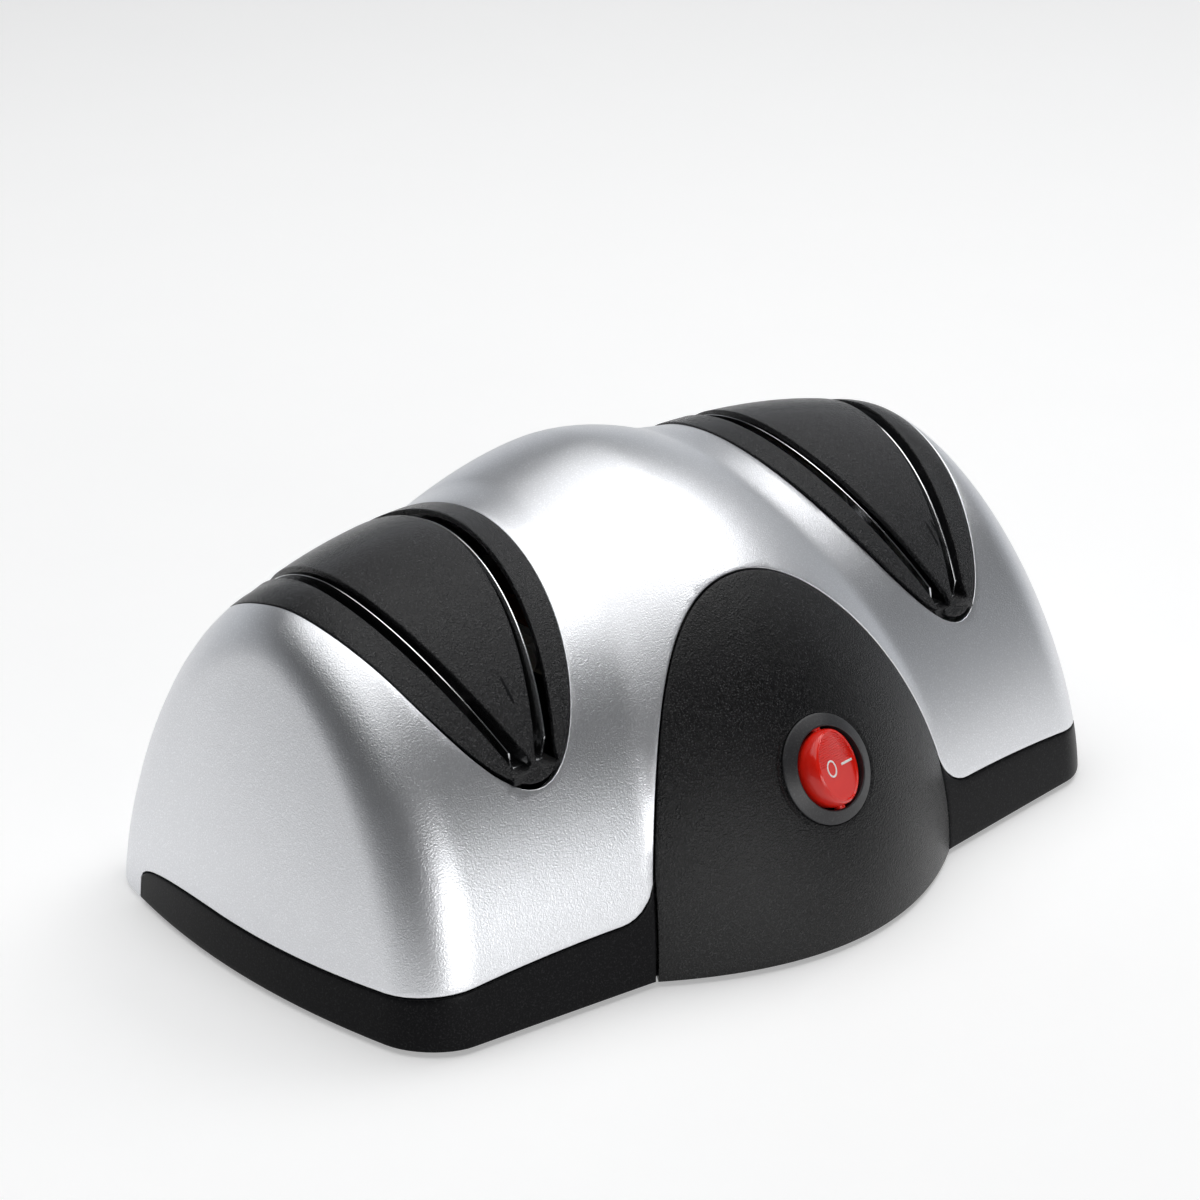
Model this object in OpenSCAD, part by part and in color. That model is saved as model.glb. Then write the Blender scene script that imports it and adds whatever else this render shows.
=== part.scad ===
// Two-stage electric knife sharpener: a silver case with a domed middle and two wings,
// a black base, a black front panel with a rocker switch, and a motor with two grinding wheels.
// X runs along the motor shaft, Y from front to back, Z up. The feet stand on Z = 0.

/* [Case] */
// Length of the case at its foot, over both bulged ends
case_l = 207; // [190:1:225]
// Wall of the case, the base band and the front panel
wall = 2.5; // [2:0.1:3.2]
// Half depth of a wing at its foot, beside the dome
wing_depth_in = 60; // [56:0.5:64]
// Half depth of a wing at its foot, at the end of the case
wing_depth_end = 54; // [50:0.5:58]
// Height of a wing's ridge above the table, beside the dome
ridge_in = 81.6; // [78:0.2:86]
// Height of a wing's ridge above the table, at the end of the case
ridge_end = 76; // [72:0.2:80]
// Roundness of a wing's arch beside the dome, where 2 is an ellipse
wing_round_in = 2; // [1.8:0.05:2.3]
// Roundness of a wing's arch at the end of the case
wing_round_end = 1.8; // [1.7:0.05:2.2]
// How far the ridge stands behind the middle of the wing, beside the dome
ridge_back_in = 8; // [4:0.5:10]
// How far the ridge stands behind the middle of the wing, at the end
ridge_back_end = 3; // [0:0.5:6]
// How far the middle of an end wall stands out past its corners
end_bulge = 7.5; // [4:0.5:10]
// How far an end wall leans in at ridge height
end_lean = 15.7; // [10:0.1:20]
// Radius of the rounding between an end wall and the wing
end_fillet = 11; // [8:0.5:14]

/* [Dome] */
// Half width of the dome at its foot
dome_w_foot = 42.6; // [40:0.2:45]
// Half width of the dome at the top of the wings
dome_w_top = 22.7; // [20:0.1:26]
// Height of the dome's crown above the table
crown_h = 87.5; // [86:0.25:92]
// Reach of the dome in front of the middle of the wings
dome_front = 74.5; // [70:0.5:78]
// Reach of the dome behind the middle of the wings
dome_back = 69; // [65:0.5:74]
// Roundness of the dome's arch, where 2 is an ellipse
dome_round = 1.85; // [1.7:0.05:2.1]
// How far the crown stands behind the middle of the wings
crown_back = 8.5; // [5:0.5:10]

/* [Base] */
// Height of the rubber feet under the base
foot_h = 1.2; // [1:0.1:3]
// Thickness of the base floor
floor_t = 2.5; // [2:0.1:3.5]
// Height of the black band's top edge above the table, beside the dome
band_in = 15.5; // [13:0.5:18]
// Height of the black band's top edge above the table, at the ends
band_end = 11; // [9:0.5:13]
// Radius of the silver case's lower corners, beside the dome
band_corner = 8; // [6:0.5:10]
// Where the band stops on an end wall, behind the middle of the wings
band_stop = 38; // [30:1:42]
// Gap between the case, the band and the panel
seam = 0.3; // [0.2:0.05:0.5]
// Diameter of a rubber foot
foot_d = 14; // [12:0.5:18]
// Distance of the feet from the middle, along the case
foot_x = 68; // [60:1:74]
// Distance of the feet from the middle of the wings, front and back
foot_y = 42; // [34:1:44]
// Distance of the case screws from the middle, along the case
case_screw_x = 85; // [82:0.5:87]
// Distance of the case screws from the middle of the wings
case_screw_y = 36; // [33:0.5:38]
// Thread diameter of the case screws
case_screw_d = 3; // [2.5:0.1:3.5]
// Outer diameter of a screw boss
boss_d = 7.5; // [7:0.25:9]

/* [Front panel] */
// Half width of the arched panel, as an ellipse
panel_a = 43.2; // [40:0.2:46]
// Height of the arched panel above the table
panel_h = 70.5; // [66:0.5:74]
// Width of the panel's rim that lies behind the case
panel_flange = 3; // [2:0.25:4]
// Thickness of that rim
flange_t = 1.6; // [1.2:0.1:2.2]
// Height of the switch's middle above the table
switch_z = 36.9; // [32:0.1:42]

/* [Guide inserts] */
// Distance of an insert's middle from the middle of the case
insert_x = 58.5; // [57:0.25:60]
// Half width of an insert, seen from above
insert_a = 25.2; // [24:0.2:27]
// Reach of an insert in front of its widest place
insert_front = 52.4; // [51:0.2:54]
// Reach of an insert behind its widest place
insert_rear = 40; // [38:0.5:42]
// The widest place, behind the middle of the wings
insert_y = 8; // [6:0.5:10]
// Rise of an insert's crown above the silver case
insert_rise = 2.3; // [1.5:0.1:3.5]
// Half width of that crown
crown_half = 22; // [18:0.5:24]
// How far the crown stands from the insert's middle, towards the dome
crown_shift = 4; // [0:0.5:6]
// Width of the rim that lies under the case
insert_flange = 4; // [3:0.25:5]
// Thickness of that rim
insert_flange_t = 2; // [1.6:0.1:2.5]
// Clear width of a knife slot, square to its walls
slot_w = 4.2; // [3.6:0.1:4.6]
// Lean of a knife slot away from the wheel
slot_lean = 24; // [21:0.5:26]
// Distance between the two slots at their ledges
slot_gap = 2.4; // [2:0.1:3.2]
// Height of the ledges at the ends of the slots
ledge_z = 48.5; // [47.5:0.25:50]
// Distance of a slot's end from the tip of the insert
slot_end = 3.5; // [3:0.25:5]
// Thickness of the walls beside a slot
guide_wall = 1.4; // [1.2:0.1:1.8]
// Thickness of a blade guide spring
leaf_t = 0.5; // [0.4:0.05:0.7]
// How far a guide spring bows into its slot
leaf_bow = 1.4; // [1:0.1:1.8]

/* [Shaft and wheels] */
// Distance of the shaft behind the middle of the wings
shaft_back = 4; // [2:0.5:5]
// Height of the shaft above the table
shaft_z = 34; // [33:0.25:35]
// Diameter of the shaft
shaft_d = 6; // [5:0.25:7]
// Diameter of a grinding wheel
wheel_d = 52; // [48:0.5:53]
// Thickness of a grinding wheel
wheel_t = 6; // [5:0.25:7]
// Bore of a grinding wheel
wheel_bore = 10; // [9:0.25:12]
// Diameter of the flange that carries a wheel
hub_d = 22; // [18:0.5:26]
// Thickness of that flange
hub_t = 2.5; // [2:0.1:3]
// Diameter of a wheel washer
washer_d = 16; // [14:0.5:20]
// Thickness of a wheel washer
washer_t = 1.5; // [1:0.1:2]
// Width across the flats of a wheel nut
nut_af = 10; // [9:0.5:12]
// Thickness of a wheel nut
nut_t = 5; // [4:0.25:6]
// Radial running clearance of the shaft in its bushes
run_gap = 0.03; // [0.02:0.01:0.08]
// Clearance of a piece pushed on the shaft
fit_gap = 0.02; // [0.01:0.01:0.04]

/* [Motor] */
// Length of the stator and armature stacks
stack_l = 34; // [30:0.5:36]
// Width of the stator, front to back
stator_w = 50; // [48:0.5:54]
// Height of the stator
stator_h = 54; // [52:0.5:56]
// Thickness of the stator's yoke
yoke_t = 6; // [5:0.25:7]
// Diameter of the armature
armature_d = 29.6; // [28:0.2:31]
// Air gap between armature and stator
air_gap = 0.7; // [0.5:0.05:1]
// Number of armature slots
armature_slots = 12; // [8:1:14]
// Distance of the end brackets from the middle of the motor
bracket_x = 34.5; // [34:0.25:36]
// Thickness of an end bracket
bracket_t = 2.5; // [2:0.1:3]
// Width of an end bracket
bracket_w = 26; // [22:0.5:30]
// Outer diameter of a shaft bush
bush_d = 12; // [10:0.25:13]
// Length of a shaft bush
bush_l = 7; // [6:0.25:8]
// Diameter of the commutator
commutator_d = 18; // [16:0.5:20]
// Number of commutator bars
commutator_bars = 24; // [12:2:24]
// Diameter of the cooling fan
fan_d = 40; // [36:0.5:41]
// Number of fan blades
fan_blades = 9; // [7:1:11]

/* [Switch] */
// Diameter of the switch's bezel
bezel_d = 23; // [22:0.25:25]
// Diameter of the panel hole for the switch
switch_hole = 20.2; // [19.5:0.1:20.6]
// Diameter of the rocker
rocker_d = 16.6; // [16:0.1:17]
// Height of the bezel above its seat
bezel_h = 2.6; // [2:0.1:3.2]
// Height of the rocker's face above the seat, when it stands level
rocker_face = 4.2; // [3.6:0.1:4.6]
// Depth of the switch body behind its seat
switch_depth = 17; // [15:0.5:19]
// Tilt of the rocker either side of its middle
rocker_tilt = 18; // [12:0.5:19]
// Diameter of the rocker's pivot pins
rocker_pin = 2.4; // [2:0.1:3]

/* [Cord inlet] */
// Bore of the cord inlet
inlet_bore = 7; // [6:0.25:8]
// Height of the cord inlet above the table
inlet_z = 17; // [15:0.5:20]

/* [Hidden] */

silver = [0.72, 0.73, 0.74];
black = [0.07, 0.07, 0.08];
steel = [0.62, 0.63, 0.65];
dark_steel = [0.35, 0.36, 0.38];
copper = [0.72, 0.38, 0.18];
brass = [0.78, 0.62, 0.3];
red = [0.8, 0.05, 0.05];

$fn = 48;

// The middle of the wings lies behind the origin by this much, so the origin is under the box
mid_y = (dome_front - dome_back) / 2;
end_curve = 1.3;
crown_curve = 1.7;
ridge_fall = 0.8;
arc_steps = 24;
wing_steps = 6;
fillet_steps = 4;
cap_steps = 2;
dome_steps = 6;
straight = 1 - end_fillet / (case_l / 2 - dome_w_foot);
floor_top = foot_h + floor_t;
clearance = 0.25;
rim_gap = 0.5;

shaft_y = mid_y + shaft_back;
wheel_top = shaft_z + wheel_d / 2;
wheel_in = insert_x - wheel_t / 2;
shaft_end = insert_x + wheel_t / 2 + washer_t + nut_t + 2;

// ---- Shape of the case ----

function mix(a, b, u) = a + (b - a) * u;
function signed_pow(v, p) = sign(v) * pow(abs(v), p);
function flat(list) = [for (part = list) for (item = part) item];
function backwards(list) = [for (i = [len(list) - 1:-1:0]) list[i]];

// A rounded arch, at t degrees from its front foot: [y, height above the base's underside]
function arch(t, depth, height, round, back) =
    [-depth * signed_pow(cos(t), 2 / round) + back * pow(sin(t), 4 / round),
     height * pow(sin(t), 2 / round)];

// Half width of the dome where it meets a wing, at height z
function crease_x(z) = mix(dome_w_foot, dome_w_top, pow(z / ridge_in, 2));

// Where an end wall lies, at y from the middle of the wings and height z
function end_x(y, z) = case_l / 2 - end_bulge * pow(abs(y) / wing_depth_end, 2)
    - end_lean * pow(max(z, 0) / ridge_end, end_curve);

// A wing's arch, where v runs from 0 at the crease to 1 at the end of the case
function wing_arch(v, t, inset) =
    arch(t, mix(wing_depth_in, wing_depth_end, v) - inset,
         mix(ridge_in, ridge_end, pow(v, ridge_fall)) - foot_h - inset,
         mix(wing_round_in, wing_round_end, v), mix(ridge_back_in, ridge_back_end, v));

// The rounding between wing and end wall draws the arch in past this place
function fillet_inset(v) = v <= straight ? 0
    : end_fillet * (1 - sqrt(max(0, 1 - pow((v - straight) / (1 - straight), 2))));

// A point of a wing's skin, where thin is how deep it lies under the skin
function wing_point(side, v, t, thin) =
    let (p = wing_arch(v, t, thin + fillet_inset(v)), z = p[1] + foot_h)
    [side * mix(crease_x(z), end_x(p[0], z) - thin, v), p[0] + mid_y, z];

function wing_ring(side, v, thin) =
    [for (i = [0:arc_steps]) wing_point(side, v, 180 * i / arc_steps, thin)];

// How far an insert's crown stands above the wing, at x from the middle of the case
function crown_rise(x, t) = insert_rise * pow(sin(t), 3)
    * max(0, 1 - pow((insert_x - abs(x) - crown_shift) / crown_half, 2));

// A ring on the end wall, drawn in by q from its rounded edge to the middle of its foot
function cap_ring(side, q, thin) =
    [for (i = [0:arc_steps])
        let (t = 180 * i / arc_steps, p = (1 - q) * wing_arch(1, t, thin + end_fillet),
             z = p[1] + foot_h)
        [side * (end_x(p[0], z) - thin), p[0] + mid_y, z]];

// All rings of a wing, from the crease to the end wall
function wing_rings(side, thin) = concat(
    [for (i = [0:wing_steps]) wing_ring(side, straight * i / wing_steps, thin)],
    [for (i = [1:fillet_steps])
        wing_ring(side, mix(straight, 1, sin(90 * i / fillet_steps)), thin)],
    [for (i = [1:cap_steps]) cap_ring(side, i / (cap_steps + 1), thin)]);

// A point of the dome's skin, where v runs from -1 to 1 between its creases
function dome_point(v, t, thin) =
    let (side = wing_arch(0, t, thin),
         crown = arch(t, (t < 90 ? dome_front : dome_back) - thin, crown_h - foot_h - thin,
                      dome_round, crown_back),
         swell = 1 - v * v, lift = 1 - pow(abs(v), crown_curve),
         z = mix(side[1], crown[1], lift) + foot_h)
    [v * crease_x(side[1] + foot_h), mix(side[0], crown[0], swell) + mid_y, z];

function dome_ring(v, thin) = [for (i = [0:arc_steps]) dome_point(v, 180 * i / arc_steps, thin)];

// All rings of the case from the left end to the right end
function case_rings(thin) = concat(
    backwards(wing_rings(-1, thin)),
    [for (i = [1 - dome_steps:dome_steps - 1]) dome_ring(i / dome_steps, thin)],
    wing_rings(1, thin));

function tip(side, thin) = [side * (end_x(0, foot_h) - thin), mid_y, foot_h];

// Faces between closed loops of n points, laid one after another
function loop_faces(m, n) = [for (k = [0:m - 2], i = [0:n - 1])
    let (a = k * n + i, b = k * n + (i + 1) % n)
    each [[a, b, a + n], [b, b + n, a + n]]];

// The case as one solid, with its skin drawn in by thin
module case_form(thin) {
    rings = case_rings(thin);
    m = len(rings);
    n = arc_steps + 1;
    left = m * n;
    polyhedron(concat(flat(rings), [tip(-1, thin), tip(1, thin)]), concat(
        loop_faces(m, n),
        [for (i = [0:n - 1]) [left, (i + 1) % n, i]],
        [for (i = [0:n - 1]) [left + 1, (m - 1) * n + i, (m - 1) * n + (i + 1) % n]]));
}

// The case as a hollow shell, open at its foot
module case_shell() {
    outer = case_rings(0);
    inner = case_rings(wall);
    m = len(outer);
    n = arc_steps + 1;
    last = (m - 1) * 2 * n;
    tips = m * 2 * n;
    polyhedron(concat(flat([for (k = [0:m - 1]) concat(outer[k], backwards(inner[k]))]),
                      [tip(-1, 0), tip(-1, wall), tip(1, 0), tip(1, wall)]),
        concat(
            loop_faces(m, 2 * n),
            [for (i = [0:n - 2]) [tips, i + 1, i]],
            [for (i = [n:2 * n - 2]) [tips + 1, i + 1, i]],
            [[tips, tips + 1, n - 1], [tips + 1, n, n - 1]],
            [[tips, 0, tips + 1], [tips + 1, 0, 2 * n - 1]],
            [for (i = [0:n - 2]) [tips + 2, last + i, last + i + 1]],
            [for (i = [n:2 * n - 2]) [tips + 3, last + i, last + i + 1]],
            [[tips + 2, last + n - 1, tips + 3], [tips + 3, last + n - 1, last + n]],
            [[tips + 2, tips + 3, last], [tips + 3, last + 2 * n - 1, last]]));
}

// Outline of the case's foot, drawn in by thin, as a flat polygon
module foot_outline(thin) {
    rings = case_rings(thin);
    front = [for (ring = rings) [ring[0][0], ring[0][1]]];
    back = [for (ring = rings) [ring[arc_steps][0], ring[arc_steps][1]]];
    polygon(concat([[tip(-1, thin)[0], mid_y]], front, [[tip(1, thin)[0], mid_y]],
                   backwards(back)));
}

// A piece of a wing's skin between two depths, from start to stop along the wing
module wing_patch(side, start, stop, outer, inner, crowned = false, steps = 10, arcs = 16) {
    n = arcs + 1;
    low = 24;
    loops = [for (k = [0:steps])
        let (v = mix(start, stop, k / steps))
        concat([for (i = [0:arcs])
                    let (t = mix(low, 180 - low, i / arcs), x = wing_point(side, v, t, 0)[0])
                    wing_point(side, v, t, outer - (crowned ? crown_rise(x, t) : 0))],
               [for (i = [arcs:-1:0])
                    wing_point(side, v, mix(low, 180 - low, i / arcs), inner)])];
    last = steps * 2 * n;
    ends = [for (i = [0:n - 2]) [i, i + 1, 2 * n - 1 - i, 2 * n - 2 - i]];
    faces = concat(
        loop_faces(steps + 1, 2 * n),
        [for (e = ends) each [[e[1], e[0], e[2]], [e[1], e[2], e[3]]]],
        [for (e = ends) each [[e[0], e[1], e[2]] + [last, last, last],
                              [e[1], e[3], e[2]] + [last, last, last]]]);
    polyhedron(flat(loops), side > 0 ? faces : [for (f = faces) backwards(f)]);
}

// A piece of the dome's front skin between two depths, up to top degrees of its arch
module dome_patch(outer, inner, top, steps = 12, arcs = 14) {
    n = arcs + 1;
    loops = [for (k = [0:steps])
        let (v = mix(-1, 1, k / steps))
        concat([for (i = [0:arcs]) dome_point(v, top * i / arcs, outer)],
               [for (i = [arcs:-1:0]) dome_point(v, top * i / arcs, inner)])];
    last = steps * 2 * n;
    ends = [for (i = [0:n - 2]) [i, i + 1, 2 * n - 1 - i, 2 * n - 2 - i]];
    polyhedron(flat(loops), concat(
        loop_faces(steps + 1, 2 * n),
        [for (e = ends) each [[e[1], e[0], e[2]], [e[1], e[2], e[3]]]],
        [for (e = ends) each [[e[0], e[1], e[2]] + [last, last, last],
                              [e[1], e[3], e[2]] + [last, last, last]]]));
}

// ---- The black band round the front and the ends ----

// Depth of a wing's front wall at height z, for place v along the wing
function wall_depth(v, z, inset) =
    let (h = mix(ridge_in, ridge_end, pow(v, ridge_fall)) - foot_h - inset,
         n = mix(wing_round_in, wing_round_end, v), q = max(0, z - foot_h) / h)
    (mix(wing_depth_in, wing_depth_end, v) - inset) * pow(1 - pow(q, n), 1 / n)
        - mix(ridge_back_in, ridge_back_end, v) * q * q;

// Stations of the band: [along the wing, turn of the corner in degrees, share of the end wall]
band_stations = concat(
    [for (i = [0:4]) [straight * (band_corner / 40) * i / 4, 0, 0]],
    [for (i = [1:4]) [mix(straight * band_corner / 40, straight, i / 4), 0, 0]],
    [for (i = [1:5]) [straight, 18 * i, 0]],
    [for (i = [1:5]) [straight, 90, i / 8]],
    [for (i = [1:4]) [straight, 90, mix(5 / 8, 1, sin(90 * i / 4))]]);

function band_point(side, station, z, thin) =
    let (v = mix(station[0], 1, station[0] < straight ? 0 : sin(station[1])),
         inset = thin + end_fillet * (1 - cos(station[1])),
         corner_y = -wall_depth(v, z, inset),
         y = station[1] < 90 ? corner_y : mix(corner_y, band_stop, station[2]))
    [side * mix(crease_x(z), end_x(y, z) - thin, v), y + mid_y, z];

// Height of the band's top edge at a station
function band_top(station) =
    let (x = abs(band_point(1, station, foot_h, 0)[0]),
         run = (x - dome_w_foot) / (case_l / 2 - dome_w_foot),
         near = max(0, band_corner - (x - dome_w_foot)),
         past = max(0, (station[2] - 5 / 8) / (3 / 8)))
    mix(band_in, band_end, run * run)
        + band_corner - sqrt(max(0, band_corner * band_corner - near * near))
        - (band_end - foot_h - 4) * (1 - sqrt(max(0, 1 - past * past)));

// The band between two depths, from the height low to more above its top edge
module band(side, outer, inner, more = 0, low = foot_h, levels = 2) {
    loops = [for (s = band_stations)
        let (top = band_top(s) + more)
        concat([for (i = [0:levels]) band_point(side, s, mix(low, top, i / levels), outer)],
               [for (i = [levels:-1:0]) band_point(side, s, mix(low, top, i / levels), inner)])];
    n = levels + 1;
    m = len(loops);
    last = (m - 1) * 2 * n;
    ends = [for (i = [0:n - 2]) [i, i + 1, 2 * n - 1 - i, 2 * n - 2 - i]];
    faces = concat(
        loop_faces(m, 2 * n),
        [for (e = ends) each [[e[1], e[0], e[2]], [e[1], e[2], e[3]]]],
        [for (e = ends) each [[e[0], e[1], e[2]] + [last, last, last],
                              [e[1], e[3], e[2]] + [last, last, last]]]);
    polyhedron(flat(loops), side > 0 ? faces : [for (f = faces) backwards(f)]);
}

// ---- Shared outlines and small shapes ----

// Front view of the panel: an elliptical arch, no wider than the creases at its foot
module panel_outline(extra, side = -seam) {
    steps = 24;
    right = [for (i = [0:steps])
        let (z = mix(foot_h - 2, panel_h + extra, sin(90 * i / steps)),
             w = panel_a * sqrt(max(0, 1 - pow(z / (panel_h + extra), 2))))
        [min(w + extra, crease_x(z) + side), z]];
    polygon(concat(right, [for (p = backwards(right)) [-p[0], p[1]]]));
}

// Plan of an insert: an egg with its narrow end to the front
module insert_outline(extra) {
    steps = 40;
    polygon([for (i = [0:steps - 1])
        let (a = 360 * i / steps)
        [(insert_a + extra) * cos(a),
         mid_y + insert_y + (sin(a) < 0 ? insert_front + extra : insert_rear + extra) * sin(a)]]);
}

// Extrudes a front view, drawn in X and Z, from y = low to y = high
module along_y(low, high) {
    translate([0, high, 0]) rotate([90, 0, 0]) linear_extrude(high - low) children();
}

// Turns a shape drawn along Z so that it lies on the shaft, starting at x
module on_shaft(x) {
    translate([x, shaft_y, shaft_z]) rotate([90, 0, 90]) children();
}

module both_sides() {
    children();
    mirror([1, 0, 0]) children();
}

module rounded_rect(w, h, r) {
    square([w - 2 * r, h], center = true);
    square([w, h - 2 * r], center = true);
    for (x = [-1, 1], y = [-1, 1]) translate([x * (w / 2 - r), y * (h / 2 - r)]) circle(r);
}

module ring_2d(outer_r, inner_r) {
    difference() {
        circle(outer_r);
        circle(inner_r);
    }
}

module at_case_screws() {
    for (x = [-1, 1], y = [-1, 1])
        translate([x * case_screw_x, mid_y + y * case_screw_y, 0]) children();
}

// ---- Case ----

inlet_arc = asin(pow((inlet_z - foot_h) / (crown_h - foot_h), dome_round / 2));
inlet_y = dome_point(0, 180 - inlet_arc, 0)[1];
inlet_r = inlet_bore / 2 + 2.6;
inlet_seat = inlet_y - 0.7;

module housing_top() {
    color(silver) difference() {
        union() {
            case_shell();
            intersection() {
                at_case_screws() translate([0, 0, boss_bottom]) cylinder(d = boss_d, h = crown_h);
                case_form(wall / 2);
            }
        }
        at_case_screws() translate([0, 0, boss_bottom - 1])
            cylinder(d = case_screw_d - 0.4, h = screw_grip + 1);
        both_sides() band(1, -2, wall + 1, seam, foot_h - 1);
        along_y(-dome_front - 5, mid_y - 5) panel_outline(seam, 0.4 * seam);
        for (x = [-insert_x, insert_x]) translate([x, 0, ledge_z - 18])
            linear_extrude(crown_h) insert_outline(clearance);
        translate([0, inlet_y - wall - 5, inlet_z]) rotate([-90, 0, 0])
            cylinder(r = inlet_r + 0.05, h = wall + 15);
        translate([0, inlet_seat, inlet_z]) rotate([-90, 0, 0])
            cylinder(r = inlet_r + 2.2, h = 10);
    }
}
boss_bottom = floor_top + 3;
screw_grip = 12;

// ---- Base ----

vent_w = 2.5;
vent_l = 26;
vent_pitch = 6;

module base_tray() {
    color(black) difference() {
        union() {
            translate([0, 0, foot_h]) linear_extrude(floor_t) foot_outline(wall + seam);
            both_sides() {
                band(1, 0, wall + seam + 1.2);
                band(1, wall + seam, wall + seam + 1.2, 3, foot_h + 0.5);
            }
            at_case_screws() translate([0, 0, foot_h])
                cylinder(d = boss_d + 3, h = boss_bottom - seam - foot_h);
            both_sides() motor_post();
        }
        at_case_screws() {
            translate([0, 0, foot_h - 1]) cylinder(d = case_screw_d + 0.6, h = 20);
            translate([0, 0, foot_h - 1]) cylinder(d = head_d + 0.8, h = head_t + 1.5);
        }
        at_feet() translate([0, 0, foot_h - 1]) cylinder(d = stem_d + 0.1, h = 20);
        both_sides() for (y = [-1, 1]) translate([post_x, shaft_y + y * post_y, foot_h + 1.5])
            cylinder(d = motor_screw_d, h = 30);
        for (i = [-3:3]) translate([i * vent_pitch, mid_y - vent_l / 2, foot_h - 1])
            linear_extrude(floor_t + 2) translate([0, vent_l / 2]) rounded_rect(vent_w, vent_l, 1.2);
    }
}

// Posts that carry the motor's end brackets
post_x = bracket_x + bracket_t + 5;
post_y = 8;
post_top = shaft_z - stator_h / 2 - bracket_t;
module motor_post() {
    for (y = [-1, 1]) translate([post_x, shaft_y + y * post_y, foot_h])
        cylinder(d = 8, h = post_top - foot_h);
}

stem_d = 7;
module at_feet() {
    for (x = [-1, 1], y = [-1, 1])
        translate([x * foot_x, mid_y + y * foot_y, 0]) children();
}
module rubber_feet() {
    color(black) at_feet() rotate_extrude()
        polygon([[0, 0], [foot_d / 2 - 0.5, 0], [foot_d / 2, 0.5], [foot_d / 2, foot_h],
                 [stem_d / 2, foot_h], [stem_d / 2, floor_top], [stem_d / 2 + 0.6, floor_top],
                 [stem_d / 2 - 0.8, floor_top + 2], [0, floor_top + 2]]);
}

head_d = 6;
head_t = 2;
module case_screws() {
    color(steel) at_case_screws() {
        difference() {
            translate([0, 0, foot_h + 0.3]) cylinder(d = head_d, h = head_t);
            translate([0, 0, foot_h]) linear_extrude(1.3) {
                square([3.4, 0.8], center = true);
                square([0.8, 3.4], center = true);
            }
        }
        translate([0, 0, foot_h + head_t])
            cylinder(d = case_screw_d - 0.45, h = boss_bottom + screw_grip - foot_h - head_t - 1);
    }
}

// ---- Front panel and switch ----

switch_arc = asin(pow((switch_z - foot_h) / (crown_h - foot_h), dome_round / 2));
switch_y = dome_point(0, switch_arc, 0)[1];
switch_up = dome_point(0, switch_arc + 3, 0);
switch_low = dome_point(0, switch_arc - 3, 0);
// The switch faces up by this angle, square to the dome
switch_tilt = atan2(switch_up[1] - switch_low[1], switch_up[2] - switch_low[2]);
seat_depth = 1;

// Places a shape drawn along +Z on the switch's axis, with z = 0 at its seat
module on_switch() {
    translate([0, switch_y, switch_z]) rotate([90 - switch_tilt, 0, 0])
        translate([0, 0, -seat_depth]) children();
}

module front_panel() {
    color(black) difference() {
        union() {
            intersection() {
                dome_patch(0, wall + rim_gap + flange_t, 75);
                along_y(-dome_front - 5, mid_y - 4) panel_outline(0);
                on_floor() cube([200, 200, 200], center = true);
            }
            intersection() {
                dome_patch(0, wall, 75);
                along_y(-dome_front - 5, mid_y - 4) panel_outline(0);
            }
            intersection() {
                dome_patch(wall + rim_gap, wall + rim_gap + flange_t, 75);
                along_y(-dome_front - 5, mid_y - 4) panel_outline(panel_flange);
                on_floor() cube([200, 200, 200], center = true);
            }
        }
        on_switch() {
            cylinder(d = bezel_d + 0.6, h = 20);
            translate([0, 0, -20]) cylinder(d = switch_hole, h = 40);
        }
    }
}

// Lifts a cube so that it starts above the base floor
module on_floor() {
    translate([0, 0, floor_top + 101]) children();
}

rocker_r = rocker_d / 2;
pivot_up = 0.35;
module switch_body() {
    color(black) on_switch() difference() {
        union() {
            translate([0, 0, 0.05]) cylinder(d1 = bezel_d, d2 = bezel_d - 3.4, h = bezel_h);
            translate([0, 0, -switch_depth]) cylinder(d = switch_hole - 0.3, h = switch_depth + 0.1);
        }
        translate([0, 0, 5 - switch_depth]) cylinder(r = rocker_r + 0.5, h = 40);
        translate([0, 0, pivot_up]) rotate([90, 0, 0])
            cylinder(d = rocker_pin + 0.1, h = rocker_d + 2.2, center = true);
        for (x = [-5, 0, 5]) translate([x, 0, -switch_depth - 1])
            linear_extrude(8) square([0.9, 6.4], center = true);
    }
}

// The rocker turns about the pins of the switch body and rests tilted
module switch_rocker() {
    color(red) on_switch() translate([0, 0, pivot_up]) rotate([0, rocker_tilt, 0]) {
        difference() {
            union() {
                intersection() {
                    translate([0, 0, -5]) cylinder(r = rocker_r, h = 20);
                    sphere(r = rocker_r + 0.05, $fn = 64);
                }
                rotate([90, 0, 0]) cylinder(d = rocker_pin, h = rocker_d + 2, center = true);
            }
            translate([0, 0, rocker_face - pivot_up + 20]) cube([40, 40, 40], center = true);
        }
    }
}

terminal_l = 8;
module switch_terminals() {
    color(brass) on_switch() for (x = [-5, 0, 5])
        translate([x, 0, -switch_depth - terminal_l + 3])
            linear_extrude(terminal_l) square([0.8, 6.3], center = true);
}

module cord_inlet() {
    lip = wall + 1.2;
    color(black) translate([0, inlet_seat + 0.05, inlet_z]) rotate([90, 0, 0]) rotate_extrude()
        polygon([[inlet_bore / 2, -1.3], [inlet_r + 1.6, -1.3], [inlet_r + 2, -0.9],
                 [inlet_r + 2, 0], [inlet_r, 0], [inlet_r, lip], [inlet_r + 1.6, lip],
                 [inlet_r, lip + 2.6], [inlet_bore / 2, lip + 2.6]]);
}

// ---- Guide inserts ----

patch_start = 0.02;
patch_stop = 0.99;
slot_across = slot_w / cos(slot_lean);
slot_front = mid_y + insert_y - insert_front + slot_end;
slot_back = mid_y + insert_y + insert_rear - slot_end;
wheel_open = wheel_d / 2 - 3;

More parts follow.
